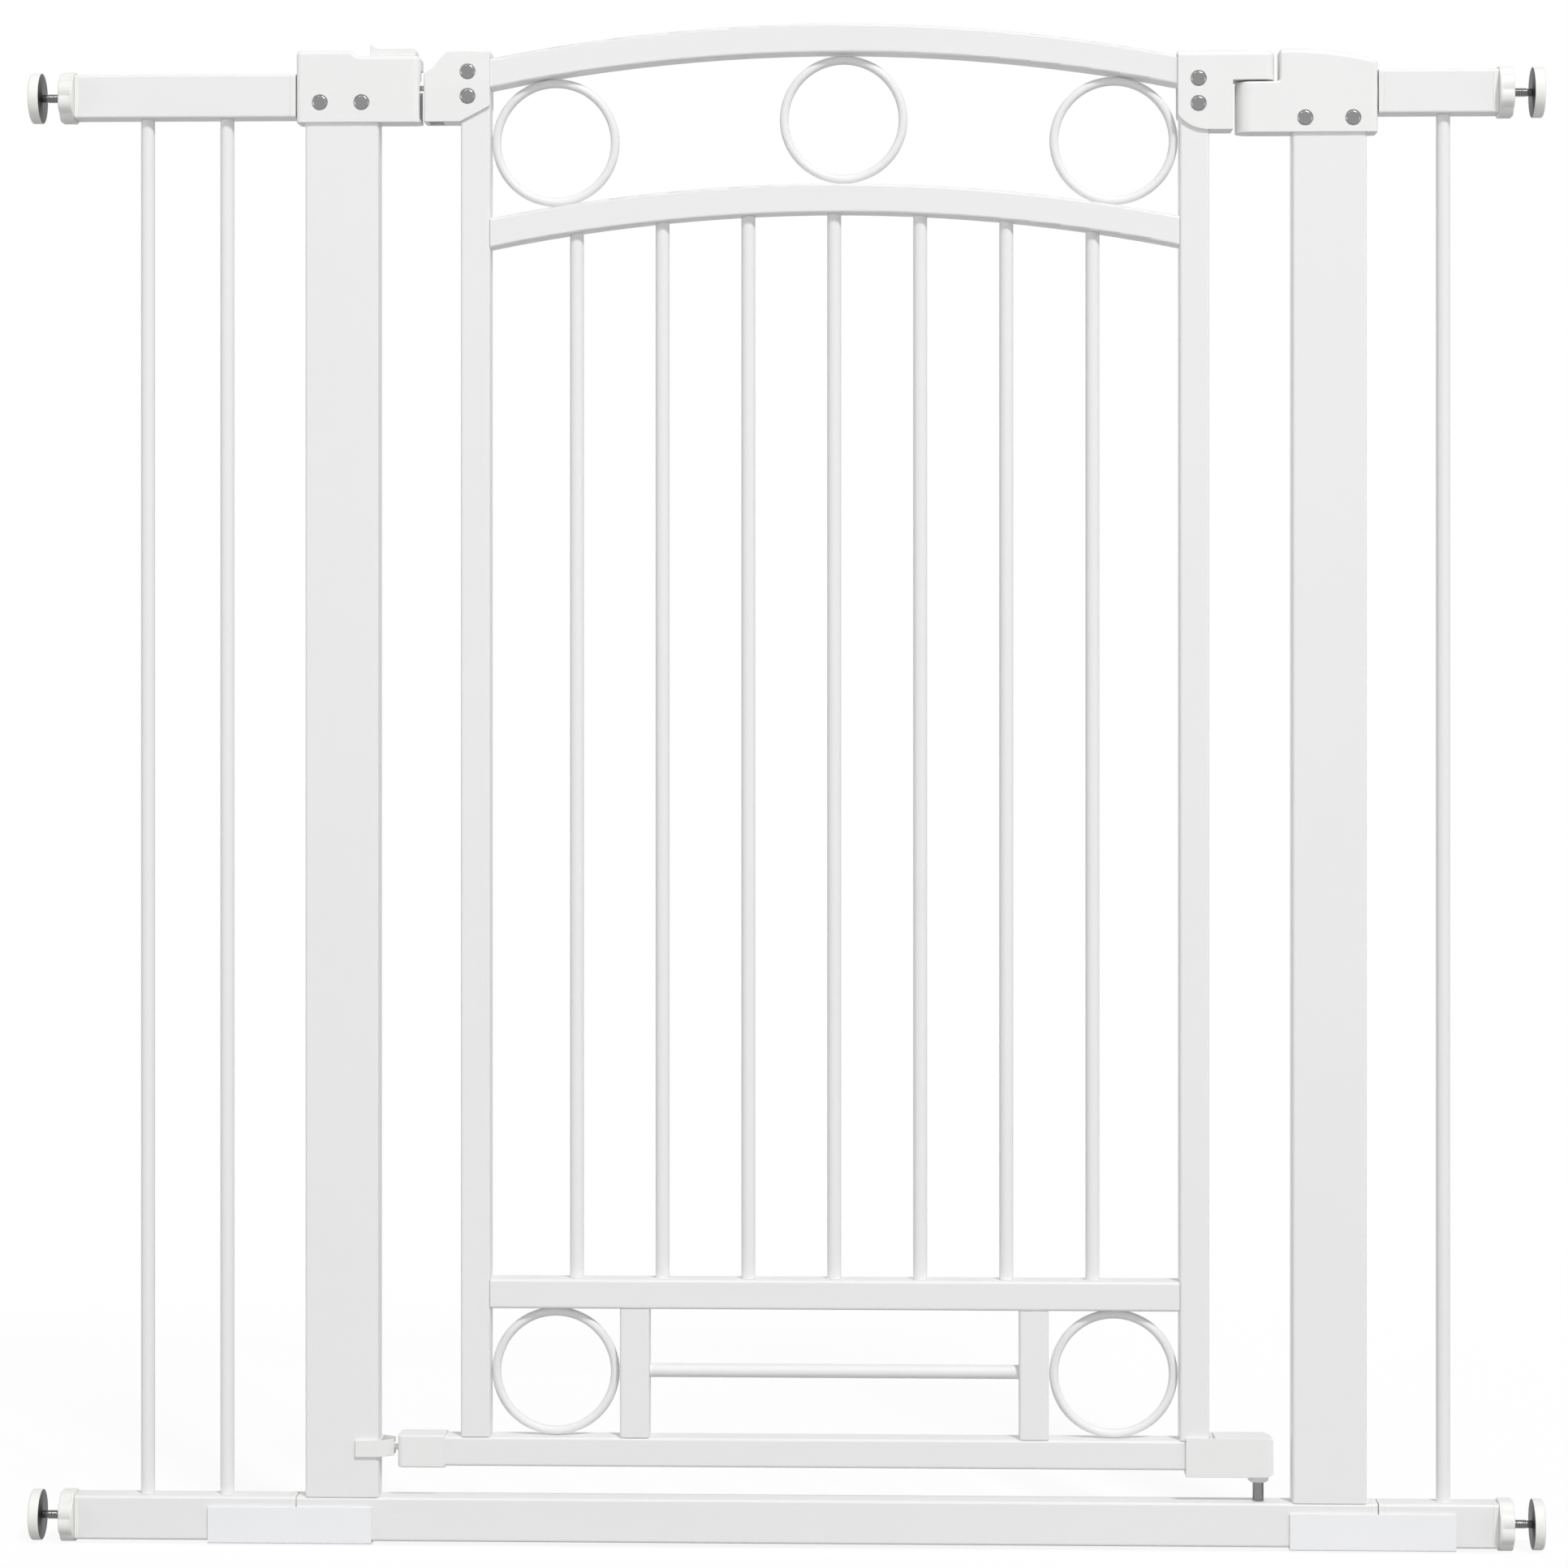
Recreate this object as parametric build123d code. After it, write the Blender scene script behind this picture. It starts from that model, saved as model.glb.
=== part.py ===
from build123d import *
import math
import os

os.makedirs("parts", exist_ok=True)

# A pressure-fit safety gate, standing closed in its doorway, in millimetres.
# X runs across the doorway, from the latch side to the hinge side. Y runs from the front to the back,
# and Z runs up. The origin is on the floor, in the middle of the gate's width and depth.

# Steel tubes
tube_depth = 20.0
tube_wall = 1.2
tube_corner = 2.0
rail_height = 30.0
post_width = 50.0
door_tube = 20.0
bar_diameter = 9.5
bar_wall = 1.0

# Clearances
fit_gap = 0.1
running_gap = 0.05
face_gap = 0.2
post_roof_gap = 0.5
overcut = 1.0

# Wall adjusters
pad_radius = 17.15
pad_thickness = 7.2
pad_rim = 1.0
pad_edge = 1.5
disc_thickness = 2.0
spindle_radius = 3.0
spindle_neck = 2.4
neck_length = 3.0
spindle_length = 68.0
spindle_point = 0.6
thread_in_view = 13.6
wheel_radius = 17.8
wheel_thickness = 9.8
wheel_lobes = 8
wheel_flute_radius = 5.0
wheel_flute_depth = 2.2
wheel_lobe_corner = 1.0
wheel_edge = 0.8
wheel_hub_radius = 8.0
wheel_hub_height = 1.2
wheel_hub_edge = 0.5
plug_flange = 3.6
plug_length = 24.0

# Extensions and their joints to the frame
left_extension = 144.0
right_extension = 73.1
left_bar_margin = 44.5
left_bar_pitch = 54.4
right_bar_margin = 40.5
joint_gap = 0.7
joint_flange = 3.8
insert_reach = 20.0
spigot_radius = 6.0
spigot_length = 10.5
rail_spigot_length = 22.0
end_ring_flange = 3.7
end_ring_sleeve = 10.0
end_ring_wall = 1.2
channel_wall = 1.5
channel_corner = 1.0
channel_height = 24.7
channel_length = 111.7
channel_left_overhang = 51.1
channel_right_overhang = 55.6

# Frame
frame_width = 728.0
axis_rise = 967.2
latch_post_inset = 5.8
hinge_post_inset = 3.6

# Door
door_side_gap = 55.9
door_ground_gap = 21.6
arch_rise = 22.8
arch_crown_lift = 32.6
bar_count = 7
ring_radius = 43.4
ring_wire = 3.0
ring_side_gap = 0.7
ring_arch_gap = 0.75
ring_seat = 0.15
centre_ring_offset = 6.4
cross_bar_rise = 44.3

# Latch head on the frame
head_depth = 24.0
latch_head_drop = 33.3
latch_head_rise = 11.9
latch_head_length = 84.4
latch_pad_length = 37.6
latch_pad_rise = 3.4
latch_pad_slope = 3.9
latch_pad_crest = 3.5
latch_pad_hollow = 6.0
latch_end_corner = 5.5
latch_back_corner = 3.0
latch_head_edge = 3.0
slot_depth = 8.0
slot_front_wall = 3.0
slot_back_wall = 3.0
slot_floor = 2.0
slot_headroom = 2.9
lift_channel_front = 4.4
lift_headroom = 0.5
door_lift = 10.0

# Lock slider on the latch head
slider_length = 31.1
slider_end_inset = 3.3
slider_half_depth = 8.5
slider_height = 4.8
slider_horn = 2.6
slider_horn_length = 10.5
slider_nose = 2.0
slider_travel = 6.0
slider_foot_length = 14.0
slider_foot_inset = 2.7
slider_foot_half_depth = 5.0
slider_foot_height = 2.8
slider_neck_half_depth = 2.3
slider_neck_inset = 2.0
slider_roof = 2.4
slider_grooves = 4
slider_groove_start = 3.0
slider_groove_pitch = 1.8
slider_groove_radius = 0.6
slider_groove_lift = 0.2
spring_strip = 0.4
spring_side_gap = 1.0
spring_length = 16.0
spring_folds = 5

# Latch bracket on the door
latch_gap = 2.2
latch_bracket_roof = 4.7
latch_bracket_height = 47.6
latch_shoulder_drop = 14.0
latch_hollow_width = 8.5
latch_hollow_rise = 5.9
latch_hollow_sag = 1.1
latch_peak_inset = 15.5
latch_peak_corner = 3.0
latch_edge_corner = 2.0
latch_bracket_edge = 2.0
latch_crease_drop = 12.3
latch_crease_slope = 10.5
latch_crease_lean = 2.2
latch_foot_cut = 10.6
latch_core_wall = 3.0
latch_core_length = 9.9
tongue_reach = 8.2
tongue_half_depth = 3.6
tongue_drop = 11.0
tongue_thickness = 2.8
tongue_corner = 1.5

# Upper hinge
hinge_axis_offset = 22.3
hinge_bracket_roof = 3.3
hinge_bracket_height = 53.5
hinge_plate_lap = 1.2
hinge_plate_gap = 2.1
hinge_foot_width = 19.4
hinge_foot_rise = 10.1
hinge_foot_sag = 2.8
hinge_arm_height = 20.1
hinge_arm_reach = 10.3
hinge_arm_corner = 6.5
hinge_crown_edge = 4.0
scallop_radius = 10.1
scallop_depth = 2.5
scallop_offset = 1.2
hinge_knuckle_length = 15.7
hinge_head_drop = 42.4
hinge_head_rise = 14.0
hinge_head_fall = 7.4
hinge_head_bow = 2.4
hinge_head_corner = 4.0
hinge_head_edge = 3.6
hinge_head_lip = 1.8
hinge_inner_corner = 2.0
hinge_shelf_gap = 1.0
hinge_shelf_corner = 10.5
hinge_wall_gap = 13.8
upper_pin_radius = 4.0
upper_pin_key = 6.4
upper_pin_key_length = 15.0
upper_pin_length = 30.0
upper_pin_foot = 5.0
upper_pin_neck = 7.0
upper_pin_collar = 1.0
upper_pin_collar_height = 1.8
hinge_spring_wire = 1.2
hinge_spring_turns = 3
hinge_spring_pitch = 3.0
hinge_spring_pin_gap = 0.6
hinge_spring_room_gap = 1.5

# Lower hinge
lower_pin_radius = 3.8
lower_pin_engagement = 18.0
lower_pin_point = 0.8
bush_radius = 6.9
bush_height = 4.6
bush_edge = 1.0
bush_sleeve_wall = 1.2
bush_sleeve_length = 12.0
lower_bracket_height = 26.2
lower_bracket_drop = 4.0
lower_bracket_overlap = 15.9
lower_bracket_reach = 9.3
lower_bracket_end_length = 4.5
lower_bracket_end_taper = 22.0
post_room_spare = 3.9
rail_overrun = 1.0

# Lower catch and the door's end cap
cap_wall = 1.0
cap_left_reach = 42.9
cap_right_reach = 10.6
cap_solid_end = 9.7
cap_corner = 4.0
cap_edge = 1.2
catch_pin_radius = 2.2
catch_pin_rise = 1.1
catch_pin_reach = 10.3
catch_pin_seat = 7.0
catch_pin_point = 0.5
catch_pin_slot_gap = 0.4
catch_drop = 5.0
catch_height = 11.2
catch_plate_length = 15.7
catch_plate = 1.8
catch_nose = 9.9
catch_tip_half = 5.0
catch_arm = 2.0
catch_web = 1.5

# Rivets
rivet_radius = 5.0
rivet_head = 1.4
rivet_shank = 2.5
rivet_grip = 3.8
rivet_recess = 0.8
latch_head_rivet_insets = (10.2, 11.5)
latch_head_rivet_rise = 13.4
hinge_head_rivet_insets = (8.4, 9.4)
hinge_head_rivet_rise = 9.5
latch_bracket_rivet_inset = 4.9
latch_bracket_rivet_rises = (17.1, 33.8)
hinge_bracket_rivet_inset = 7.4
hinge_bracket_rivet_rises = (17.5, 34.4)

# Places that follow from the sizes
axis_low = wheel_radius
axis_high = axis_low + axis_rise
rail_bottom = axis_low - rail_height / 2
rail_top = axis_low + rail_height / 2
top_tube_bottom = axis_high - rail_height / 2
post_top = axis_high + rail_height / 2
adjuster_stack = pad_thickness + thread_in_view + wheel_thickness + face_gap + plug_flange
left_stack = adjuster_stack + left_extension + joint_flange + joint_gap
right_stack = adjuster_stack + right_extension + joint_flange + joint_gap + end_ring_flange
half_span = (left_stack + frame_width + right_stack) / 2
frame_left = left_stack - half_span
frame_right = frame_left + frame_width
head_right = frame_right + end_ring_flange
latch_post_x = frame_left + latch_post_inset + post_width / 2
hinge_post_x = frame_right - hinge_post_inset - post_width / 2
passage_left = latch_post_x + post_width / 2
passage_right = hinge_post_x - post_width / 2
door_middle = (passage_left + passage_right) / 2
door_left = passage_left + door_side_gap
door_right = passage_right - door_side_gap
door_inner_left = door_left + door_tube
door_inner_right = door_right - door_tube
door_inner_half = (door_inner_right - door_inner_left) / 2
door_rail_bottom = rail_top + door_ground_gap
door_rail_top = door_rail_bottom + door_tube
door_rail_middle = door_rail_bottom + door_tube / 2
middle_rail_bottom = door_rail_top + 2 * (ring_radius + ring_seat)
middle_rail_top = middle_rail_bottom + door_tube
arch_radius = (door_inner_half**2 + arch_rise**2) / (2 * arch_rise)
arch_crown = post_top + arch_crown_lift
arch_drop = door_tube + 2 * (ring_radius + ring_arch_gap)
door_post_top = arch_crown - arch_rise
hinge_axis = passage_right - hinge_axis_offset
hinge_wall = hinge_axis + hinge_wall_gap
half_depth = head_depth / 2
half_tube = tube_depth / 2
latch_head_bottom = post_top - latch_head_drop
latch_head_top = post_top + latch_head_rise
latch_head_right = frame_left + latch_head_length
latch_bracket_left = latch_head_right + latch_gap
latch_bracket_top = door_post_top + latch_bracket_roof
latch_bracket_bottom = latch_bracket_top - latch_bracket_height
latch_shoulder = latch_bracket_top - latch_shoulder_drop
tongue_bottom = latch_shoulder - tongue_drop
tongue_top = tongue_bottom + tongue_thickness
slot_top = tongue_top + slot_headroom
hinge_bracket_left = door_inner_right - hinge_plate_lap
hinge_bracket_top = door_post_top + hinge_bracket_roof
hinge_bracket_bottom = hinge_bracket_top - hinge_bracket_height
hinge_arm_bottom = hinge_bracket_top - hinge_arm_height
hinge_shelf = hinge_arm_bottom - hinge_shelf_gap
hinge_shelf_left = hinge_axis - hinge_knuckle_length
hinge_head_bottom = post_top - hinge_head_drop
hinge_head_top = post_top + hinge_head_rise
upper_pin_bottom = hinge_shelf - upper_pin_length
lower_bracket_bottom = door_rail_bottom - lower_bracket_drop
cap_left = door_left - cap_left_reach
catch_pin_height = door_rail_middle + catch_pin_rise
slider_right = latch_head_right - slider_end_inset
slider_foot_right = slider_right - slider_foot_inset
slider_foot_left = slider_foot_right - slider_foot_length


def across(x, z):
    """Plane square to X, with its own x axis along Y and its own y axis along Z."""
    return Plane(origin=(x, 0, z), x_dir=(0, 1, 0), z_dir=(1, 0, 0))


def slab(outline, half):
    """Front outline, drawn in X and Z, given the same thickness to the front and to the back."""
    return extrude(Plane.XZ * outline, half, both=True)


def box(left, right, front, back, bottom, top):
    """Plain block between six places."""
    centre = ((left + right) / 2, (front + back) / 2, (bottom + top) / 2)
    return Pos(*centre) * Box(right - left, back - front, top - bottom)


def rod_z(x, radius, bottom, top):
    """Round bar standing in the middle of the depth."""
    return Pos(x, 0, bottom) * extrude(Circle(radius), top - bottom)


def rod_x(left, right, radius, z):
    """Round bar lying across the doorway."""
    return extrude(across(left, z) * Circle(radius), right - left)


def bar_section():
    """Ring section of the thin round tubes that fill the gate."""
    return Circle(bar_diameter / 2) - Circle(bar_diameter / 2 - bar_wall)


def bar_block(left, right, z, depth, height, corner):
    """Solid bar of rounded section, lying across the doorway."""
    return extrude(across(left, z) * RectangleRounded(depth, height, corner), right - left)


def level_tube(left, right, z, height):
    """Hollow tube lying across the doorway."""
    outer = bar_block(left, right, z, tube_depth, height, tube_corner)
    inner_corner = tube_corner - tube_wall
    inner = bar_block(left, right, z, tube_depth - 2 * tube_wall, height - 2 * tube_wall, inner_corner)
    return outer - inner


def upright_tube(x, width, bottom, top):
    """Hollow tube standing up."""
    outer = RectangleRounded(width, tube_depth, tube_corner)
    inner_corner = tube_corner - tube_wall
    inner = RectangleRounded(width - 2 * tube_wall, tube_depth - 2 * tube_wall, inner_corner)
    return Pos(x, 0, bottom) * extrude(outer - inner, top - bottom)


def tube_plug(left, right, z, height=rail_height, spare=0.0):
    """Moulded block that fits inside the end of a level tube."""
    inset = 2 * (tube_wall + fit_gap + spare)
    return bar_block(left, right, z, tube_depth - inset, height - inset, tube_corner - tube_wall)


# Rivets

def rivet_seat(x, z):
    """Recess for a rivet head with the hole for its shank, through the head wall and the tube wall."""
    recess = rivet_radius + 2 * face_gap
    seat = Pos(x, -half_depth + rivet_recess, z) * Rot(90, 0, 0) * extrude(Circle(recess), rivet_recess)
    hole = Pos(x, -half_depth + rivet_grip + rivet_head, z) * Rot(90, 0, 0)
    return seat + hole * extrude(Circle(rivet_shank + running_gap), rivet_grip + rivet_head)


def rivet(x, z):
    """Blind rivet with a low round head at the front."""
    start = -half_depth + rivet_recess
    head = Pos(x, start, z) * Rot(90, 0, 0) * extrude(Circle(rivet_radius), rivet_head)
    head = fillet(head.edges().group_by(Axis.Y)[0], rivet_head / 3)
    shank = Pos(x, start + rivet_grip, z) * Rot(90, 0, 0) * extrude(Circle(rivet_shank), rivet_grip)
    return head + shank


def with_seats(piece, places):
    """Piece with a rivet seat at each place."""
    for x, z in places:
        piece = piece - rivet_seat(x, z)
    return piece


def head_rivets(x, insets, z):
    """Places of the two rivets through a head and its post, one near each side of the post."""
    half = post_width / 2
    return [(x - half + insets[0], z), (x + half - insets[1], z)]


def bracket_rivet_places(x, bottom, rises):
    """Places of the rivets up a bracket."""
    return [(x, bottom + rise) for rise in rises]


latch_head_rivets = head_rivets(latch_post_x, latch_head_rivet_insets,
                                latch_head_bottom + latch_head_rivet_rise)
hinge_head_rivets = head_rivets(hinge_post_x, hinge_head_rivet_insets,
                                hinge_head_bottom + hinge_head_rivet_rise)
latch_bracket_rivets = bracket_rivet_places(door_left + latch_bracket_rivet_inset, latch_bracket_bottom,
                                            latch_bracket_rivet_rises)
hinge_bracket_rivets = bracket_rivet_places(door_right - hinge_bracket_rivet_inset, hinge_bracket_bottom,
                                            hinge_bracket_rivet_rises)


# Fixed frame

def bottom_rail():
    """Floor rail with the hole that takes the lower hinge pin."""
    rail = level_tube(frame_left, frame_right, axis_low, rail_height)
    hole = rod_z(hinge_axis, lower_pin_radius + running_gap, axis_low, rail_top + overcut)
    return rail - hole


def frame_post(x, spigot_side, rivets):
    """Wide upright, with the holes for the joint spigot and for the rivets of its head."""
    post = upright_tube(x, post_width, rail_top, post_top)
    face = x + spigot_side * post_width / 2
    hole = rod_x(face - 2 * tube_wall, face + 2 * tube_wall, spigot_radius + fit_gap, axis_high)
    return with_seats(post - hole, rivets)


def post_pocket(x, bottom):
    """Room for the top of a wide upright inside its head."""
    half = post_width / 2 + fit_gap
    deep = half_tube + fit_gap
    return box(x - half, x + half, -deep, deep, bottom - overcut, post_top + fit_gap)


def latch_head_outline():
    """Front view of the latch head: level at the door end, raised in a pad over the post."""
    left = frame_left
    right = latch_head_right
    pad_end = left + latch_pad_length
    pad_top = latch_head_top + latch_pad_rise
    corners = [
        (left, latch_head_bottom),
        (right, latch_head_bottom),
        (right, latch_head_top),
        (pad_end + latch_pad_slope, latch_head_top),
        (pad_end, pad_top),
        (left, pad_top),
    ]
    face = Polygon(*corners, align=None)
    face = fillet(face.vertices().sort_by_distance((pad_end, pad_top))[0], latch_pad_crest)
    foot = face.vertices().sort_by_distance((pad_end + latch_pad_slope, latch_head_top))[0]
    return fillet(foot, latch_pad_hollow)


def latch_slot():
    """Space for the tongue: cut into the door end, with a way out at the back and room for the lift."""
    left = latch_head_right - slot_depth
    right = latch_head_right + overcut
    front = -half_depth + slot_front_wall
    back = half_depth + overcut
    room = box(left, right, front, half_depth - slot_back_wall, latch_head_bottom + slot_floor, slot_top)
    edge = room.edges().filter_by(Axis.X).group_by(Axis.Z)[-1].sort_by(Axis.Y)[0]
    room = fillet(edge, slot_front_wall)
    lift_top = tongue_top + door_lift + lift_headroom
    return room + box(left, right, -lift_channel_front, back, tongue_bottom - lift_headroom, lift_top)


def slider_room():
    """Guideway of the lock slider: a wide room for its foot and spring under a narrow slot for its neck."""
    roof = latch_head_top - slider_roof
    deep = slider_foot_half_depth + fit_gap
    floor = roof - slider_foot_height - 2 * face_gap
    spring_end = slider_foot_left - spring_length - face_gap
    room = box(spring_end, slider_foot_right + fit_gap, -deep, deep, floor, roof)
    neck = slider_neck_half_depth + fit_gap
    left = slider_foot_left + slider_neck_inset - slider_travel - fit_gap
    right = slider_foot_right - slider_neck_inset + fit_gap
    return room + box(left, right, -neck, neck, roof - overcut, latch_head_top + overcut)


def latch_housing():
    """Moulded latch head on the latch post."""
    head = slab(latch_head_outline(), half_depth)
    upright = head.edges().filter_by(Axis.Z)
    head = fillet(upright.group_by(Axis.X)[-1], latch_end_corner)
    head = fillet(head.edges().filter_by(Axis.Z).group_by(Axis.X)[0], latch_back_corner)
    rim = head.faces().sort_by(Axis.Z)[-1].edges()
    head = fillet(rim.filter_by(Axis.X), latch_head_edge)
    spigot = rod_x(frame_left - overcut, latch_post_x, spigot_radius + fit_gap, axis_high)
    head = head - post_pocket(latch_post_x, latch_head_bottom) - spigot
    return with_seats(head - latch_slot() - slider_room(), latch_head_rivets)


def hinge_head_outline():
    """Front view of the hinge head: a shelf under the door's arm, then a block with a falling top."""
    end_top = hinge_head_top - hinge_head_fall
    lines = Polyline((hinge_wall, hinge_head_top), (hinge_wall, hinge_shelf),
                     (hinge_shelf_left, hinge_shelf), (hinge_shelf_left, hinge_head_bottom),
                     (head_right, hinge_head_bottom), (head_right, end_top))
    middle = ((hinge_wall + head_right) / 2, (hinge_head_top + end_top) / 2 + hinge_head_bow)
    top = ThreePointArc((head_right, end_top), middle, (hinge_wall, hinge_head_top))
    face = make_face(lines + top)
    inner = face.vertices().sort_by_distance((hinge_wall, hinge_shelf))[0]
    face = fillet(inner, hinge_inner_corner)
    outer = face.vertices().sort_by_distance((head_right, end_top))[0]
    return fillet(outer, hinge_head_corner)


def upper_pin_room():
    """Bores for the upper hinge pin, with the room for the closing spring between them."""
    bore_radius = upper_pin_radius + running_gap
    bore = rod_z(hinge_axis, bore_radius, upper_pin_bottom - face_gap, hinge_shelf + overcut)
    room_radius = spring_outer_radius() + hinge_spring_room_gap
    room_bottom = upper_pin_bottom + upper_pin_foot
    return bore + rod_z(hinge_axis, room_radius, room_bottom, hinge_shelf - upper_pin_neck)


def spring_outer_radius():
    """Outside of the closing spring, which clears the collar of the upper hinge pin."""
    return upper_pin_radius + upper_pin_collar + hinge_spring_pin_gap + hinge_spring_wire


def hinge_housing():
    """Moulded hinge head on the hinge post."""
    head = slab(hinge_head_outline(), half_depth)
    upright = head.edges().filter_by(Axis.Z).group_by(Axis.X)
    head = fillet(upright[-1], hinge_head_edge)
    head = fillet(head.edges().filter_by(Axis.Z).group_by(Axis.X)[0], hinge_shelf_corner)
    wall = head.faces().filter_by(Axis.X).sort_by_distance((hinge_wall, 0, hinge_head_top))[0]
    head = fillet(wall.edges().filter_by(Axis.Z), hinge_head_lip)
    spigot = rod_x(hinge_post_x, head_right + overcut, spigot_radius + fit_gap, axis_high)
    head = head - post_pocket(hinge_post_x, hinge_head_bottom) - spigot - upper_pin_room()
    return with_seats(head, hinge_head_rivets)


def hinge_spring():
    """Torsion spring of square wire, coiled round the upper hinge pin."""
    radius = spring_outer_radius() - hinge_spring_wire / 2
    height = hinge_spring_pitch * hinge_spring_turns
    start = upper_pin_bottom + upper_pin_foot + hinge_spring_wire / 2 + face_gap
    path = Pos(hinge_axis, 0, start) * Helix(hinge_spring_pitch, height, radius)
    section = Plane(origin=path @ 0, x_dir=(0, 0, 1), z_dir=path % 0)
    return sweep(section * Rectangle(hinge_spring_wire, hinge_spring_wire), path, is_frenet=True)


def lower_hinge_pin():
    """Steel pin fixed in the bottom rail, on which the door stands and turns."""
    top = lower_pin_top()
    pin = rod_z(hinge_axis, lower_pin_radius, rail_bottom + tube_wall, top)
    return chamfer(pin.edges().group_by(Axis.Z)[-1], lower_pin_point)


def lower_pin_top():
    """Height of the pin's end, which carries the door."""
    return lower_bracket_bottom + lower_pin_engagement


def lower_catch():
    """Clip round the latch post, with two arms that close in on the door's lower pin."""
    post_left = passage_left - catch_plate_length
    side = half_tube + catch_plate
    tip = passage_left + catch_nose
    tip_in = catch_tip_half - catch_arm
    web = passage_left + catch_web
    root_in = side - catch_arm
    outside = [(post_left, -side), (passage_left, -side), (tip, -catch_tip_half), (tip, -tip_in),
               (web, -root_in)]
    inside = [(passage_left, -half_tube), (post_left, -half_tube)]
    back = [(x, -y) for x, y in reversed(outside)]
    inside_back = [(x, -y) for x, y in reversed(inside)]
    plan = Polygon(*outside, *back, *inside_back, *inside, align=None)
    clip = Pos(0, 0, catch_pin_height - catch_drop) * extrude(plan, catch_height)
    half = catch_pin_radius + catch_pin_slot_gap
    way_out = box(web, tip + overcut, 0, side + overcut, catch_pin_height - half, catch_pin_height + half)
    return clip - way_out


def rail_end_ring():
    """Moulded ring that closes the rim of the bottom rail and guides the joint spigot."""
    flange = bar_block(frame_right, head_right, axis_low, tube_depth, rail_height, tube_corner)
    sleeve = tube_plug(frame_right - end_ring_sleeve, frame_right, axis_low)
    inner_end = frame_right - end_ring_sleeve - overcut
    hole = tube_plug(inner_end, head_right + overcut, axis_low, spare=end_ring_wall)
    return flange + sleeve - hole


# Extensions

def joint_insert(side, z):
    """Coupling between an extension tube and the frame: flange, block in the tube, spigot in the frame."""
    face = head_right if side > 0 else frame_left
    inner = face + side * joint_gap
    outer = inner + side * joint_flange
    end = outer + side * insert_reach
    flange = bar_block(min(inner, outer), max(inner, outer), z, tube_depth, rail_height, tube_corner)
    block = tube_plug(min(outer, end), max(outer, end), z)
    return flange + block + joint_spigot(side, z, inner, face)


def joint_spigot(side, z, inner, face):
    """Round spigot for a head, or a block for the bottom rail."""
    if z == axis_high:
        tip = face - side * spigot_length
        return rod_x(min(tip, inner), max(tip, inner), spigot_radius, z)
    tip = face - side * rail_spigot_length
    spare = end_ring_wall + fit_gap if side > 0 else 0.0
    return tube_plug(min(tip, inner), max(tip, inner), z, spare=spare)


def extension_inner(side):
    """Frame end of an extension tube."""
    face = head_right if side > 0 else frame_left
    return face + side * (joint_gap + joint_flange)


def extension_outer(side):
    """Wall end of an extension tube."""
    return extension_inner(side) + side * (right_extension if side > 0 else left_extension)


def extension_tube(side, z):
    """Level tube of an extension."""
    ends = sorted([extension_inner(side), extension_outer(side)])
    return level_tube(ends[0], ends[1], z, rail_height)


def extension_bar(x):
    """Upright bar between the two tubes of an extension."""
    return Pos(x, 0, rail_top) * extrude(bar_section(), top_tube_bottom - rail_top)


def joiner_channel(left):
    """U channel clipped under a bottom joint."""
    half = half_tube + fit_gap
    bottom = rail_bottom - fit_gap - channel_wall
    outer = RectangleRounded(2 * (half + channel_wall), channel_height * 2, channel_corner)
    inner = Rectangle(2 * half, (channel_height - channel_wall) * 2)
    section = (outer - inner) & (Pos(0, -channel_height / 2) * Rectangle(3 * half, channel_height))
    return extrude(across(left, bottom + channel_height) * section, channel_length)


# Wall adjusters

def end_plug(side, z):
    """Moulded plug in the wall end of a tube, bored for the spindle."""
    outer = extension_outer(side)
    face = outer + side * plug_flange
    tip = outer - side * plug_length
    flange = bar_block(min(outer, face), max(outer, face), z, tube_depth, rail_height, tube_corner)
    block = tube_plug(min(outer, tip), max(outer, tip), z)
    bore = rod_x(min(tip, face) - overcut, max(tip, face) + overcut, spindle_radius + fit_gap, z)
    return flange + block - bore


def wheel_face(side):
    """Face of a hand wheel that bears on its plug."""
    return extension_outer(side) + side * (plug_flange + face_gap)


def hand_wheel(side, z):
    """Lobed nut that drives the spindle out against the wall."""
    flutes = PolarLocations(wheel_radius - wheel_flute_depth + wheel_flute_radius, wheel_lobes,
                            start_angle=180 / wheel_lobes)
    outline = Circle(wheel_radius) - flutes * Circle(wheel_flute_radius)
    outline = fillet(outline.vertices(), wheel_lobe_corner)
    wheel = extrude(outline, wheel_thickness)
    wheel = chamfer(wheel.faces().sort_by(Axis.Z)[-1].outer_wire().edges(), wheel_edge)
    hub = extrude(Circle(wheel_hub_radius), wheel_thickness + wheel_hub_height)
    hub = chamfer(hub.edges().group_by(Axis.Z)[-1], wheel_hub_edge)
    bore = extrude(Circle(spindle_radius + running_gap), wheel_thickness + wheel_hub_height)
    turn = Plane(origin=(wheel_face(side), 0, z), x_dir=(0, 1, 0), z_dir=(side, 0, 0))
    return turn * (wheel + hub - bore)


def spindle(side, z):
    """Threaded spindle with the steel disc that carries the wall pad."""
    disc = Circle(pad_radius - pad_rim - fit_gap)
    wall = pad_thickness - disc_thickness
    body = Pos(0, 0, wall) * extrude(disc, disc_thickness)
    neck = Pos(0, 0, pad_thickness) * extrude(Circle(spindle_neck), neck_length)
    shank_length = spindle_length - neck_length
    shank = Pos(0, 0, pad_thickness + neck_length) * extrude(Circle(spindle_radius), shank_length)
    shank = chamfer(shank.edges().group_by(Axis.Z)[-1], spindle_point)
    inward = Plane(origin=(side * half_span, 0, z), x_dir=(0, 1, 0), z_dir=(-side, 0, 0))
    return inward * (body + neck + shank)


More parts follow.
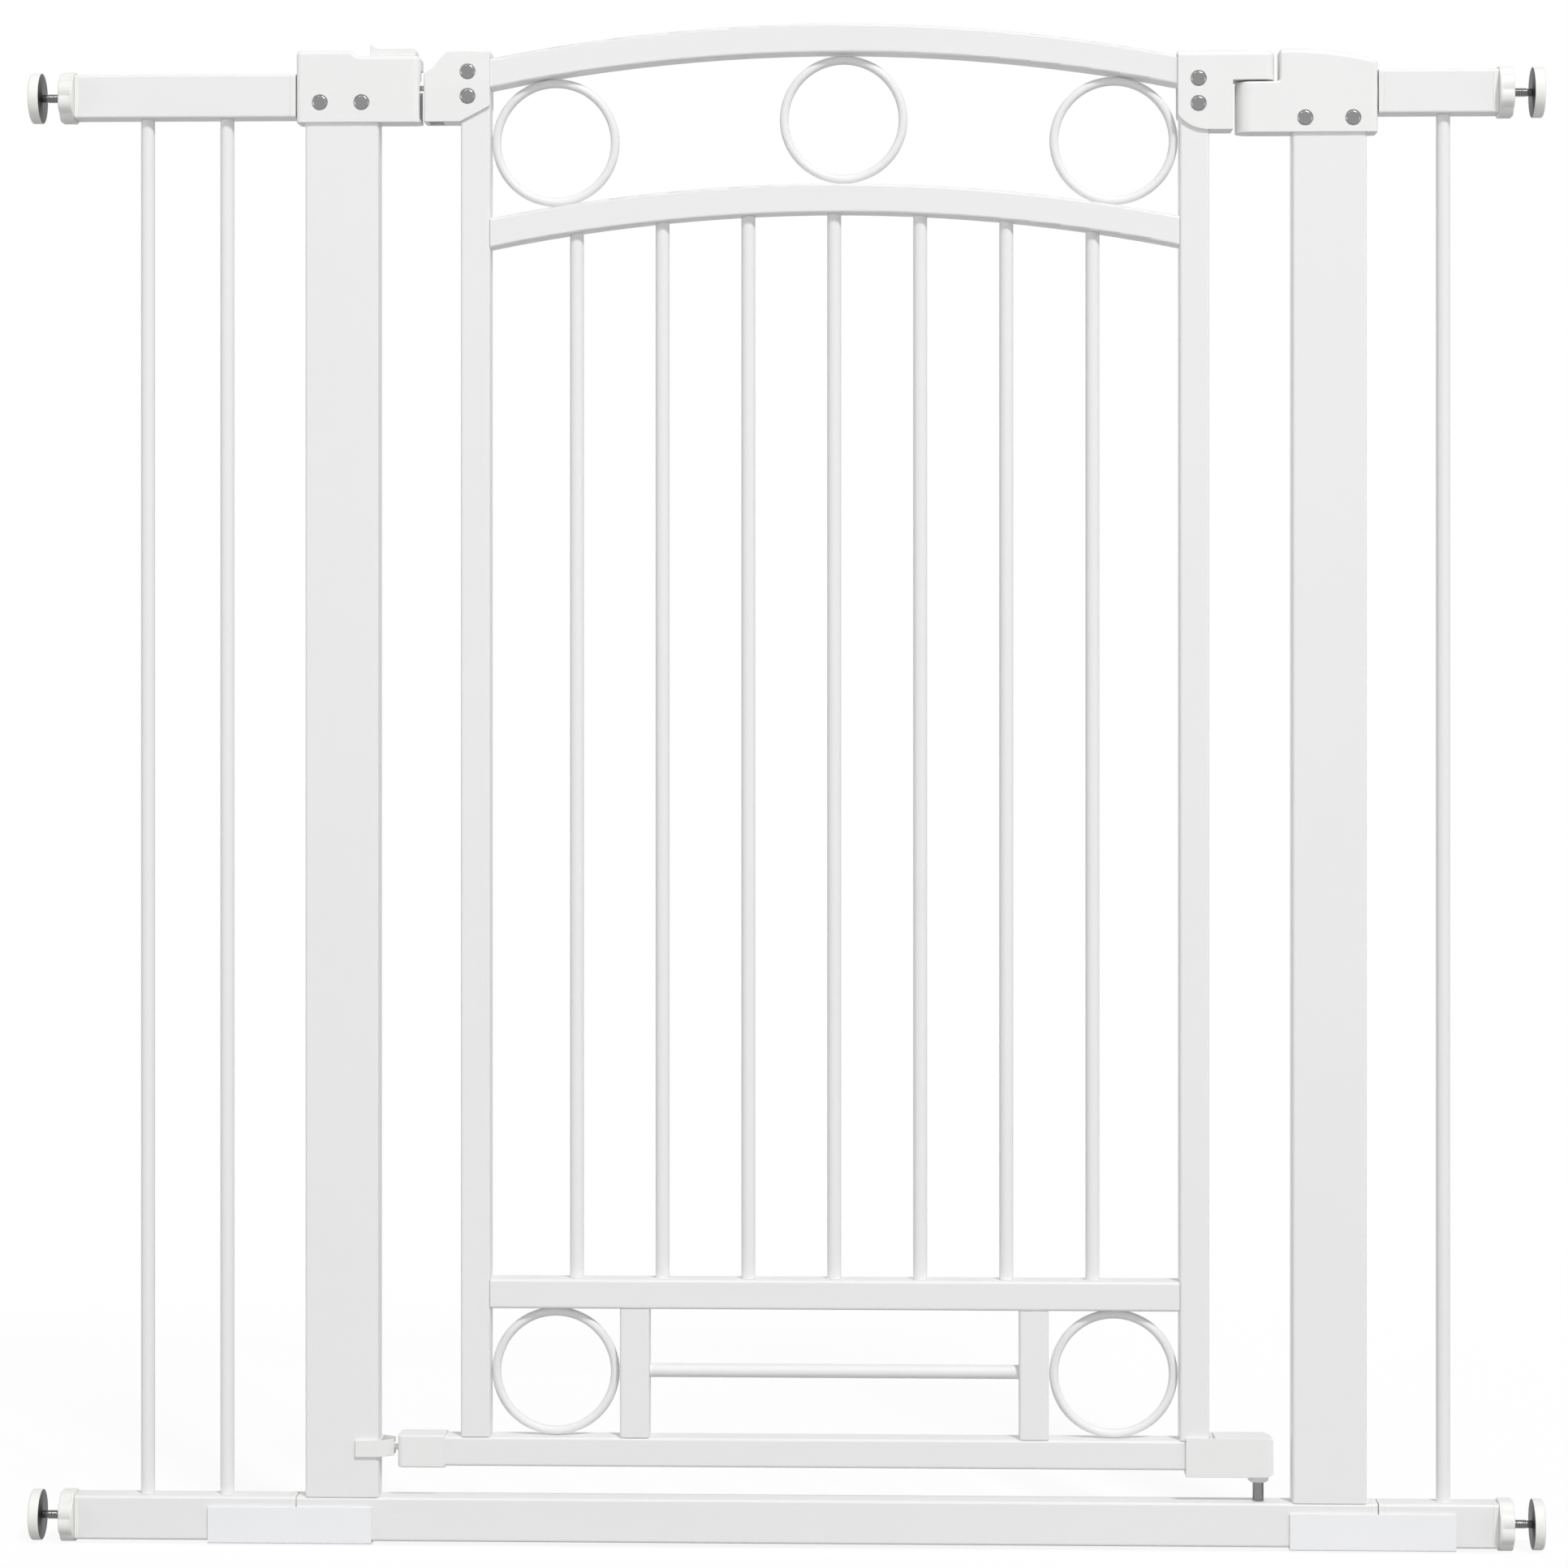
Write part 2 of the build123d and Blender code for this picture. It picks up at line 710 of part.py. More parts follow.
def wall_pad(side, z):
    """Rubber cup round the spindle's disc, with a rounded wall face."""
    pad = extrude(Circle(pad_radius), pad_thickness)
    pad = fillet(pad.edges().group_by(Axis.Z)[0], pad_edge)
    seat = Pos(0, 0, pad_thickness - disc_thickness) * extrude(Circle(pad_radius - pad_rim), disc_thickness)
    inward = Plane(origin=(side * half_span, 0, z), x_dir=(0, 1, 0), z_dir=(-side, 0, 0))
    return inward * (pad - seat)


# Door

def arch_solid(crown, inset):
    """Bent bar along the arch, between the door posts, thinner by the inset on every side."""
    size = door_tube - 2 * inset
    radius = arch_radius - door_tube / 2
    half_angle = math.degrees(math.asin(door_inner_half / radius)) + 1
    centre = crown - arch_radius
    path = Plane.XZ * CenterArc((door_middle, centre), radius, 90 - half_angle, 2 * half_angle)
    section = Plane(origin=path @ 0, x_dir=(0, 1, 0), z_dir=path % 0)
    bent = sweep(section * RectangleRounded(size, size, tube_corner - inset), path)
    span = box(door_inner_left, door_inner_right, -half_tube, half_tube, centre, crown + overcut)
    return bent & span


def arch_rail(crown):
    """Hollow arched rail."""
    return arch_solid(crown, 0.0) - arch_solid(crown, tube_wall)


def arch_underside(crown, x):
    """Height of an arched rail's underside at a place across the door."""
    inner = arch_radius - door_tube
    return crown - arch_radius + math.sqrt(inner**2 - (x - door_middle) ** 2)


def door_bars():
    """Upright bars, evenly spaced, coped to the arched rail."""
    crown = arch_crown - arch_drop
    rail = arch_solid(crown, 0.0)
    pitch = 2 * door_inner_half / (bar_count + 1)
    bars = []
    for number in range(1, bar_count + 1):
        x = door_inner_left + number * pitch
        top = arch_underside(crown, x) + door_tube / 2
        bar = Pos(x, 0, middle_rail_top) * extrude(bar_section(), top - middle_rail_top)
        bars.append(bar - rail)
    return bars


def ring_column():
    """Distance of the outer rings' centres from the door's middle."""
    return door_inner_half - ring_side_gap - ring_radius


def short_post_centre():
    """Distance of the short posts' centres from the door's middle."""
    return ring_column() - ring_radius - ring_side_gap - door_tube / 2


def ring(x, z):
    """Ring of round wire, facing the front."""
    return Pos(x, 0, z) * Rot(90, 0, 0) * Torus(ring_radius - ring_wire, ring_wire)


def arch_ring_height(x):
    """Middle of the space between the two arched rails."""
    low = math.sqrt(arch_radius**2 - (x - door_middle) ** 2) + arch_crown - arch_drop - arch_radius
    return (low + arch_underside(arch_crown, x)) / 2


def arch_rings():
    """Three rings between the arched rails."""
    places = [door_middle - ring_column(), door_middle + centre_ring_offset, door_middle + ring_column()]
    return [ring(x, arch_ring_height(x)) for x in places]


def foot_rings():
    """Two rings between the door's lower rails."""
    z = (door_rail_top + middle_rail_bottom) / 2
    return [ring(door_middle + side * ring_column(), z) for side in (-1, 1)]


def short_post(side):
    """Short upright beside a lower ring."""
    x = door_middle + side * short_post_centre()
    return upright_tube(x, door_tube, door_rail_top, middle_rail_bottom)


def cross_bar():
    """Level bar between the short posts."""
    reach = short_post_centre() - door_tube / 2
    return extrude(across(door_middle - reach, door_rail_top + cross_bar_rise) * bar_section(), 2 * reach)


def door_post(left, rivets):
    """Upright of the door, with the rivet holes of its bracket."""
    post = upright_tube(left + door_tube / 2, door_tube, door_rail_top, door_post_top)
    return with_seats(post, rivets)


def cap_inner():
    """Where the door's bottom rail ends inside its cap."""
    return cap_left + cap_solid_end


def bracket_channel_end():
    """Where the door's bottom rail ends inside the lower hinge bracket."""
    return door_right + rail_overrun


def door_bottom_rail():
    """Lowest rail of the door, from inside the cap to inside the hinge bracket."""
    return level_tube(cap_inner(), bracket_channel_end(), door_rail_middle, door_tube)


def latch_end_cap():
    """Moulded cap on the latch end of the door's bottom rail, bored for the catch pin."""
    right = door_left - cap_right_reach
    half = door_tube / 2 + cap_wall
    cap = box(cap_left, right, -half, half, door_rail_middle - half, door_rail_middle + half)
    cap = fillet(cap.edges().filter_by(Axis.Z).group_by(Axis.X)[0], cap_corner)
    cap = fillet(cap.edges().group_by(Axis.X)[0], cap_edge)
    room = bar_block(cap_inner(), right + overcut, door_rail_middle, tube_depth, door_tube, tube_corner)
    bore = rod_x(cap_left - overcut, cap_left + catch_pin_seat, catch_pin_radius, catch_pin_height)
    return cap - room - bore


def catch_pin():
    """Pin that drops between the arms of the lower catch."""
    pin = rod_x(cap_left - catch_pin_reach, cap_left + catch_pin_seat, catch_pin_radius, catch_pin_height)
    return chamfer(pin.edges().group_by(Axis.X)[0], catch_pin_point)


def latch_bracket_outline():
    """Front view of the latch bracket: hollow shoulder at the latch, cut corner under the arch."""
    left = latch_bracket_left
    right = door_inner_left
    hollow_end = (left + latch_hollow_width, latch_shoulder + latch_hollow_rise)
    hollow_sag = latch_hollow_rise / 2 - latch_hollow_sag
    hollow_middle = (left + latch_hollow_width / 2, latch_shoulder + hollow_sag)
    hollow = ThreePointArc((left, latch_shoulder), hollow_middle, hollow_end)
    peak = (left + latch_peak_inset, latch_bracket_top)
    lines = Polyline(hollow_end, peak, (right, latch_bracket_top),
                     (right, latch_bracket_bottom + latch_foot_cut),
                     (door_left - fit_gap, latch_bracket_bottom),
                     (left, latch_bracket_bottom), (left, latch_shoulder))
    face = make_face(hollow + lines)
    return fillet(face.vertices().sort_by_distance(peak)[0], latch_peak_corner)


def latch_bracket_lean():
    """Wedge off the bracket's front, which leans the part above a slanting crease back a little."""
    size = 2 * latch_bracket_height
    crease = Pos(latch_bracket_left, -half_depth, latch_shoulder - latch_crease_drop)
    wedge = Pos(0, -size / 2, size / 2) * Box(2 * size, size, size)
    return crease * Rot(0, -latch_crease_slope, 0) * Rot(-latch_crease_lean, 0, 0) * wedge


def door_post_room(left, right, bottom):
    """Room for a door post inside its bracket, open on the side of the rails."""
    deep = half_tube + fit_gap
    return box(left, right, -deep, deep, bottom - overcut, door_post_top + post_roof_gap)


def latch_bracket():
    """Moulded bracket on the door's latch post, with the tongue that enters the latch head."""
    left = latch_bracket_left
    bracket = slab(latch_bracket_outline(), half_depth)
    bracket = fillet(bracket.edges().filter_by(Axis.Z).group_by(Axis.X)[0], latch_edge_corner)
    crown = bracket.faces().sort_by(Axis.Z)[-1].edges().filter_by(Axis.X)
    bracket = fillet(crown, latch_bracket_edge) - latch_bracket_lean()
    room = door_post_room(door_left - fit_gap, door_inner_left + overcut, latch_bracket_bottom)
    core_left = left + latch_core_wall
    core_half = half_depth - latch_core_wall
    core = box(core_left, core_left + latch_core_length, -core_half, core_half,
               latch_bracket_bottom - overcut, tongue_bottom - latch_core_wall)
    tongue = box(left - tongue_reach, left + overcut, -tongue_half_depth, tongue_half_depth,
                 tongue_bottom, tongue_top)
    tongue = fillet(tongue.edges().filter_by(Axis.Z).group_by(Axis.X)[0], tongue_corner)
    return with_seats(bracket - room - core + tongue, latch_bracket_rivets)


def hinge_bracket_outline():
    """Front view of the hinge bracket: a plate on the post and an arm over the hinge head."""
    left = hinge_bracket_left
    plate_right = hinge_shelf_left - hinge_plate_gap
    tip = hinge_axis + hinge_arm_reach
    foot_end = (left + hinge_foot_width, hinge_bracket_bottom)
    foot_top = (left, hinge_bracket_bottom + hinge_foot_rise)
    foot_middle = (left + hinge_foot_width / 2, hinge_bracket_bottom + hinge_foot_rise / 2 - hinge_foot_sag)
    lines = Polyline(foot_top, (left, hinge_bracket_top), (tip, hinge_bracket_top), (tip, hinge_arm_bottom),
                     (plate_right, hinge_arm_bottom), (plate_right, hinge_bracket_bottom), foot_end)
    return make_face(lines + ThreePointArc(foot_end, foot_middle, foot_top))


def hinge_bracket():
    """Moulded bracket on the door's hinge post, whose arm is keyed to the upper hinge pin."""
    bracket = slab(hinge_bracket_outline(), half_depth)
    tip = bracket.edges().filter_by(Axis.Z).group_by(Axis.X)[-1]
    bracket = fillet(tip, hinge_arm_corner)
    crown = bracket.faces().sort_by(Axis.Z)[-1].edges().filter_by(Axis.X)
    bracket = fillet(crown, hinge_crown_edge)
    scallop_height = hinge_bracket_top + scallop_radius - scallop_depth
    scallop = Pos(hinge_axis - scallop_offset, 0, scallop_height) * Rot(90, 0, 0)
    scallop = scallop * Cylinder(scallop_radius, head_depth + 2 * overcut)
    room = door_post_room(hinge_bracket_left - overcut, door_right + fit_gap, hinge_bracket_bottom)
    half = upper_pin_key / 2 + running_gap
    top = hinge_arm_bottom + upper_pin_key_length + fit_gap
    socket = box(hinge_axis - half, hinge_axis + half, -half, half, hinge_arm_bottom - overcut, top)
    return with_seats(bracket - scallop - room - socket, hinge_bracket_rivets)


def upper_hinge_pin():
    """Pin that turns in the hinge head and slides in the arm on its square end."""
    pin = rod_z(hinge_axis, upper_pin_radius, upper_pin_bottom, hinge_shelf + hinge_shelf_gap / 2)
    low = upper_pin_bottom + upper_pin_foot + face_gap
    collar = rod_z(hinge_axis, upper_pin_radius + upper_pin_collar, low, low + upper_pin_collar_height)
    half = upper_pin_key / 2
    key_top = hinge_arm_bottom + upper_pin_key_length
    key = box(hinge_axis - half, hinge_axis + half, -half, half, hinge_shelf, key_top)
    return pin + collar + key


def lower_hinge_bracket():
    """Moulded bracket round the foot of the hinge post and the rail end, bored for the bush and the pin."""
    left = door_right - lower_bracket_overlap
    right = hinge_axis + lower_bracket_reach
    bottom = lower_bracket_bottom
    top = bottom + lower_bracket_height
    end_start = right - lower_bracket_end_length
    block = box(left, end_start, -half_depth, half_depth, bottom, top)
    end = across(end_start, (bottom + top) / 2) * Rectangle(head_depth, lower_bracket_height)
    block = block + extrude(end, lower_bracket_end_length, taper=lower_bracket_end_taper)
    deep = half_tube + fit_gap
    rail_end = bracket_channel_end() + fit_gap
    rail_room = box(left - overcut, rail_end, -deep, deep, door_rail_bottom, top + overcut)
    post_end = door_right + post_room_spare
    post_room = box(left - overcut, post_end, -deep, deep, door_rail_top + fit_gap, top + overcut)
    sleeve = lower_pin_radius + running_gap + bush_sleeve_wall
    bush_room = rod_z(hinge_axis, sleeve + fit_gap, bottom - overcut, bottom + bush_sleeve_length + fit_gap)
    pin_room = rod_z(hinge_axis, lower_pin_radius + running_gap, bottom, lower_pin_top())
    return block - rail_room - post_room - bush_room - pin_room


def lower_hinge_bush():
    """Moulded bush between the lower pin and its bracket, with a collar under the bracket."""
    bottom = lower_bracket_bottom - bush_height
    top = lower_bracket_bottom + bush_sleeve_length
    collar = rod_z(hinge_axis, bush_radius, bottom, lower_bracket_bottom)
    collar = chamfer(collar.edges().group_by(Axis.Z)[0], bush_edge)
    sleeve_radius = lower_pin_radius + running_gap + bush_sleeve_wall
    sleeve = rod_z(hinge_axis, sleeve_radius, lower_bracket_bottom, top)
    bore = rod_z(hinge_axis, lower_pin_radius + running_gap, bottom - overcut, top + overcut)
    return collar + sleeve - bore


# Lock slider

def slider_outline():
    """Side of the slider's thumb pad, with a raised horn away from the door."""
    right = slider_right
    left = right - slider_length
    bottom = latch_head_top + fit_gap
    top = bottom + slider_height
    horn_middle = (left + 0.35 * slider_horn_length, top + 0.3 * slider_horn)
    horn = ThreePointArc((left, top + slider_horn), horn_middle, (left + slider_horn_length, top))
    lines = Polyline((left + slider_horn_length, top), (right, top), (right, bottom), (left, bottom),
                     (left, top + slider_horn))
    face = make_face(horn + lines)
    return fillet(face.vertices().sort_by_distance((right, top))[0], slider_nose)


def lock_slider():
    """Thumb slider with a neck and a foot that hold it in the latch head."""
    thumb = slab(slider_outline(), slider_half_depth)
    top = latch_head_top + fit_gap + slider_height
    start = slider_right - slider_length + slider_horn_length + slider_groove_start
    groove = Cylinder(slider_groove_radius, 2 * (slider_half_depth + overcut))
    for number in range(slider_grooves):
        x = start + number * slider_groove_pitch
        thumb = thumb - Pos(x, 0, top + slider_groove_lift) * Rot(90, 0, 0) * groove
    roof = latch_head_top - slider_roof
    neck = box(slider_foot_left + slider_neck_inset, slider_foot_right - slider_neck_inset,
               -slider_neck_half_depth, slider_neck_half_depth, roof - overcut, latch_head_top + overcut)
    foot = box(slider_foot_left, slider_foot_right, -slider_foot_half_depth, slider_foot_half_depth,
               roof - face_gap - slider_foot_height, roof - face_gap)
    return thumb + neck + foot


def slider_spring():
    """Folded strip spring between the slider's foot and the end of the guideway."""
    left = slider_foot_left - spring_length + spring_strip
    right = slider_foot_left - spring_strip
    step = (right - left) / spring_folds
    reach = slider_foot_half_depth - spring_side_gap
    points = [(left, 0)]
    for fold in range(spring_folds):
        points.append((left + (fold + 0.5) * step, reach if fold % 2 else -reach))
    points.append((right, 0))
    strip = offset(Polyline(*points), spring_strip / 2)
    bottom = latch_head_top - slider_roof - slider_foot_height - face_gap
    return Pos(0, 0, bottom) * extrude(make_face(strip), slider_foot_height - face_gap)


def pieces():
    """Every piece of the gate by name."""
    left_bar = frame_left - joint_gap - joint_flange - left_bar_margin
    right_bar = extension_inner(1) + right_bar_margin
    channel_left = frame_left + channel_left_overhang - channel_length
    channel_right = frame_right - channel_right_overhang
    found = {
        "bottom_rail": bottom_rail(),
        "latch_post": frame_post(latch_post_x, -1, latch_head_rivets),
        "hinge_post": frame_post(hinge_post_x, 1, hinge_head_rivets),
        "latch_housing": latch_housing(),
        "hinge_housing": hinge_housing(),
        "housing_rivets": [rivet(x, z) for x, z in latch_head_rivets + hinge_head_rivets],
        "lower_catch": lower_catch(),
        "lower_hinge_pin": lower_hinge_pin(),
        "hinge_spring": hinge_spring(),
        "rail_end_ring": rail_end_ring(),
        "left_bars": [extension_bar(left_bar), extension_bar(left_bar - left_bar_pitch)],
        "right_bar": extension_bar(right_bar),
        "left_joiner_channel": joiner_channel(channel_left),
        "right_joiner_channel": joiner_channel(channel_right),
        "door_latch_post": door_post(door_left, latch_bracket_rivets),
        "door_hinge_post": door_post(door_inner_right, hinge_bracket_rivets),
        "top_arch_rail": arch_rail(arch_crown),
        "middle_arch_rail": arch_rail(arch_crown - arch_drop),
        "lower_middle_rail": level_tube(door_inner_left, door_inner_right,
                                        middle_rail_bottom + door_tube / 2, door_tube),
        "door_bottom_rail": door_bottom_rail(),
        "left_short_post": short_post(-1),
        "right_short_post": short_post(1),
        "cross_bar": cross_bar(),
        "door_bars": door_bars(),
        "arch_rings": arch_rings(),
        "foot_rings": foot_rings(),
        "latch_bracket": latch_bracket(),
        "hinge_bracket": hinge_bracket(),
        "bracket_rivets": [rivet(x, z) for x, z in latch_bracket_rivets + hinge_bracket_rivets],
        "latch_end_cap": latch_end_cap(),
        "catch_pin": catch_pin(),
        "lower_hinge_bracket": lower_hinge_bracket(),
        "lower_hinge_bush": lower_hinge_bush(),
        "upper_hinge_pin": upper_hinge_pin(),
        "lock_slider": lock_slider(),
        "slider_spring": slider_spring(),
    }
    for side_name, side in (("left", -1), ("right", 1)):
        for level_name, z in (("top", axis_high), ("bottom", axis_low)):
            place = f"{side_name}_{level_name}"
            found[f"{place}_tube"] = extension_tube(side, z)
            found[f"{place}_joint_insert"] = joint_insert(side, z)
            found[f"{place}_end_plug"] = end_plug(side, z)
            found[f"{place}_hand_wheel"] = hand_wheel(side, z)
            found[f"{place}_spindle"] = spindle(side, z)
            found[f"{place}_wall_pad"] = wall_pad(side, z)
    return found


for name, piece in pieces().items():
    if isinstance(piece, list):
        piece = Compound(children=piece)
    export_step(piece, f"parts/{name}.step")
    print(name)
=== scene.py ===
import math

import bpy
from mathutils import Matrix, Vector


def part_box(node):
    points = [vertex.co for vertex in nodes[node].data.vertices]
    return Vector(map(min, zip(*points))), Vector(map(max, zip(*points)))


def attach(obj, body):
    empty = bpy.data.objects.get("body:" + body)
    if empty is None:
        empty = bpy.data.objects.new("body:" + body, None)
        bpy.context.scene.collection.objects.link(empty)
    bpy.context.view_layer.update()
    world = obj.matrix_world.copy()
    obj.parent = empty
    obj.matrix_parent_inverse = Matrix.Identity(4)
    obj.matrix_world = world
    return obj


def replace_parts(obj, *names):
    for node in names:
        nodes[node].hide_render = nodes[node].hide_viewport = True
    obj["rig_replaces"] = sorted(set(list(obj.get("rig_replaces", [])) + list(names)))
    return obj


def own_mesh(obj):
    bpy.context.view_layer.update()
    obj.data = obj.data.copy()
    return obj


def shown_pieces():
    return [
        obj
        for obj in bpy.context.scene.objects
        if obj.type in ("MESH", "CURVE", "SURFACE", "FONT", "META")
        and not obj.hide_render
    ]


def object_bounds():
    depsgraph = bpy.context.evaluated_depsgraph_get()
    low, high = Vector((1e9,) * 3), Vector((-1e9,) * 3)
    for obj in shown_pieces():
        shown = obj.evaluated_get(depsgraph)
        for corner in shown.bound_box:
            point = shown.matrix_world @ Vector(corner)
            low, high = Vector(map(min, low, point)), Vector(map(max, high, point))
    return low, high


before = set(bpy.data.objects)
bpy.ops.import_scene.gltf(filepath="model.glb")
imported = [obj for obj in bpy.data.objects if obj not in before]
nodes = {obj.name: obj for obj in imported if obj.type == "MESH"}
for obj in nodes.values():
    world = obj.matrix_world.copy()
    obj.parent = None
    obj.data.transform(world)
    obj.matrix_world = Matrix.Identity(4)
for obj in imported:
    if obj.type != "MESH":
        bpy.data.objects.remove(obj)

# Dressing of a pressure-fit safety gate: powder-coated tubes, moulded heads and screw-out pads.
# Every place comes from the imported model. Lengths are in metres.

cadLow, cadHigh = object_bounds()
places = ["left_top", "left_bottom", "right_top", "right_bottom"]
millimetre = 0.001


class Wire:
    # One output of a node, so that shader maths reads as arithmetic
    def __init__(self, finish, socket):
        self.finish = finish
        self.socket = socket

    def math(self, operation, first, second):
        return self.finish.add("ShaderNodeMath", {"operation": operation}, [first, second])

    def __add__(self, other):
        return self.math("ADD", self, other)

    def __sub__(self, other):
        return self.math("SUBTRACT", self, other)

    def __rsub__(self, other):
        return self.math("SUBTRACT", other, self)

    def __mul__(self, other):
        return self.math("MULTIPLY", self, other)

    def __truediv__(self, other):
        return self.math("DIVIDE", self, other)

    def __rtruediv__(self, other):
        return self.math("DIVIDE", other, self)

    __radd__ = __add__
    __rmul__ = __mul__


class Finish:
    # One node tree, with the few ways of filling it
    def __init__(self, tree):
        self.tree = tree
        tree.nodes.clear()

    def add(self, kind, settings, values=(), output=0):
        node = self.tree.nodes.new(kind)
        for key, value in settings.items():
            setattr(node, key, value)
        pairs = values.items() if isinstance(values, dict) else enumerate(values)
        for key, value in pairs:
            if isinstance(value, Wire):
                self.tree.links.new(value.socket, node.inputs[key])
            elif value is not None:
                node.inputs[key].default_value = value
        return Wire(self, node.outputs[output]) if node.outputs else node

    def point(self):
        return self.add("ShaderNodeTexCoord", {}, output="Object")

    def stretched(self, stretch):
        # The point, scaled along each axis
        return self.add("ShaderNodeVectorMath", {"operation": "MULTIPLY"}, [self.point(), stretch])

    def length(self, spot):
        return self.add("ShaderNodeVectorMath", {"operation": "LENGTH"}, [spot], "Value")

    def axisDistance(self):
        # Distance from the piece's own Z axis
        return self.length(self.stretched((1, 1, 0)))

    def grain(self, size, detail=2.0, stretch=(1, 1, 1)):
        values = {"Vector": self.stretched(stretch), "Scale": 1 / size, "Detail": detail}
        return self.add("ShaderNodeTexNoise", {"noise_dimensions": "3D"}, values)

    def clamp(self, value):
        return self.add("ShaderNodeClamp", {}, [value])

    def shades(self, amount, first, second):
        # A colour Mix has its factor and its two colours on sockets 0, 6 and 7, and gives output 2
        first = first if isinstance(first, Wire) else (*first, 1)
        second = second if isinstance(second, Wire) else (*second, 1)
        values = {0: amount, 6: first, 7: second}
        return self.add("ShaderNodeMix", {"data_type": "RGBA"}, values, 2)

    def relief(self, height, depth, edge=0.0):
        # Fine relief, on edges rounded off to a small radius
        values = {"Distance": depth, "Height": height}
        if edge:
            values["Normal"] = self.add("ShaderNodeBevel", {"samples": 6}, {"Radius": edge})
        return self.add("ShaderNodeBump", {}, values)

    def close(self, shader, kind="ShaderNodeOutputMaterial"):
        self.add(kind, {}, {"Surface": shader})

    def closePrincipled(self, fixed, varied):
        self.close(self.add("ShaderNodeBsdfPrincipled", {}, {**fixed, **varied}))


def newFinish(name):
    material = bpy.data.materials.new(name)
    material.use_nodes = True
    return material, Finish(material.node_tree)


# Finishes

coat = {
    "colour": (0.80, 0.80, 0.80),
    "thinColour": (0.825, 0.825, 0.825),
    "patch": 0.14,
    "peel": 0.0016,
    "peelDepth": 0.000012,
    "roughness": 0.42,
    "roughnessSpread": 0.12,
    "edge": 0.0005,
    "specular": 0.30,
}


def powderCoat():
    # White powder coat: orange peel, with a slow change of film thickness
    material, finish = newFinish("powderCoat")
    peel = finish.grain(coat["peel"])
    patch = finish.grain(coat["patch"], detail=3.0)
    varied = {
        "Base Color": finish.shades(patch, coat["colour"], coat["thinColour"]),
        "Roughness": coat["roughness"] + (peel - 0.5) * coat["roughnessSpread"],
        "Normal": finish.relief(peel, coat["peelDepth"], coat["edge"]),
    }
    fixed = {"Specular IOR Level": coat["specular"]}
    finish.closePrincipled(fixed, varied)
    return material


moulded = {
    "white": {"colour": (0.805, 0.805, 0.80), "flowColour": (0.83, 0.83, 0.825)},
    "cool": {"colour": (0.85, 0.853, 0.87), "flowColour": (0.875, 0.878, 0.895)},
    "warm": {"colour": (0.81, 0.81, 0.79), "flowColour": (0.835, 0.835, 0.815)},
    "spark": 0.0006,
    "sparkDepth": 0.000010,
    "flow": 0.03,
    "flowStretch": (1, 1, 0.3),
    "roughness": 0.48,
    "roughnessSpread": 0.10,
    "edge": 0.0006,
    "specular": 0.30,
}


def mouldedPlastic(name, colour, flowColour):
    # Spark-eroded moulding: a fine even grain, with faint flow shades
    material, finish = newFinish(name)
    spark = finish.grain(moulded["spark"], detail=1.0)
    flow = finish.grain(moulded["flow"], stretch=moulded["flowStretch"])
    varied = {
        "Base Color": finish.shades(flow, colour, flowColour),
        "Roughness": moulded["roughness"] + (spark - 0.5) * moulded["roughnessSpread"],
        "Normal": finish.relief(spark, moulded["sparkDepth"], moulded["edge"]),
    }
    fixed = {"Specular IOR Level": moulded["specular"]}
    finish.closePrincipled(fixed, varied)
    return material


rubber = {
    "colour": (0.86, 0.86, 0.835),
    "dustColour": (0.78, 0.78, 0.75),
    "dust": 0.006,
    "grain": 0.0009,
    "grainDepth": 0.000025,
    "roughness": 0.62,
    "roughnessSpread": 0.10,
}


def padRubber():
    # Off-white rubber, matt and faintly dusty
    material, finish = newFinish("padRubber")
    grain = finish.grain(rubber["grain"])
    dust = finish.grain(rubber["dust"], detail=4.0)
    varied = {
        "Base Color": finish.shades(dust * dust, rubber["colour"], rubber["dustColour"]),
        "Roughness": rubber["roughness"] + (grain - 0.5) * rubber["roughnessSpread"],
        "Normal": finish.relief(grain, rubber["grainDepth"]),
    }
    finish.closePrincipled({}, varied)
    return material


turned = {
    "rivet": {"colour": (0.31, 0.31, 0.31), "darkColour": (0.23, 0.23, 0.23), "roughness": 0.24},
    "disc": {"colour": (0.13, 0.13, 0.13), "darkColour": (0.09, 0.09, 0.09), "roughness": 0.42,
             "edgeTint": 0.76},
    "ringSize": 0.00035,
    "ringDepth": 0.000006,
    "stain": 0.004,
    "stainShare": 0.4,
    "roughnessSpread": 0.14,
}


def turnedSteel(name, colour, darkColour, roughness, edgeTint=1.0):
    # Steel with the fine rings of turning or pressing, round the piece's own Z axis. An edge tint
    # under 1 dims what it mirrors at a grazing angle
    material, finish = newFinish(name)
    values = {"W": finish.axisDistance() / turned["ringSize"], "Scale": 1.0, "Detail": 3.0}
    rings = finish.add("ShaderNodeTexNoise", {"noise_dimensions": "1D"}, values)
    stain = finish.grain(turned["stain"], detail=3.0)
    share = turned["stainShare"]
    varied = {
        "Base Color": finish.shades(rings * (1 - share) + stain * share, darkColour, colour),
        "Roughness": roughness + (rings - 0.5) * turned["roughnessSpread"],
        "Normal": finish.relief(rings, turned["ringDepth"]),
    }
    fixed = {"Metallic": 1.0, "Specular Tint": (edgeTint, edgeTint, edgeTint, 1)}
    finish.closePrincipled(fixed, varied)
    return material


drawn = {
    "pin": {"colour": (0.27, 0.27, 0.27), "darkColour": (0.19, 0.19, 0.19), "roughness": 0.13},
    "spring": {"colour": (0.46, 0.46, 0.46), "darkColour": (0.34, 0.34, 0.34), "roughness": 0.25,
               "stretch": (0.2, 0.2, 0.2)},
    "streak": 0.0006,
    "streakDepth": 0.000004,
    "roughnessSpread": 0.12,
}


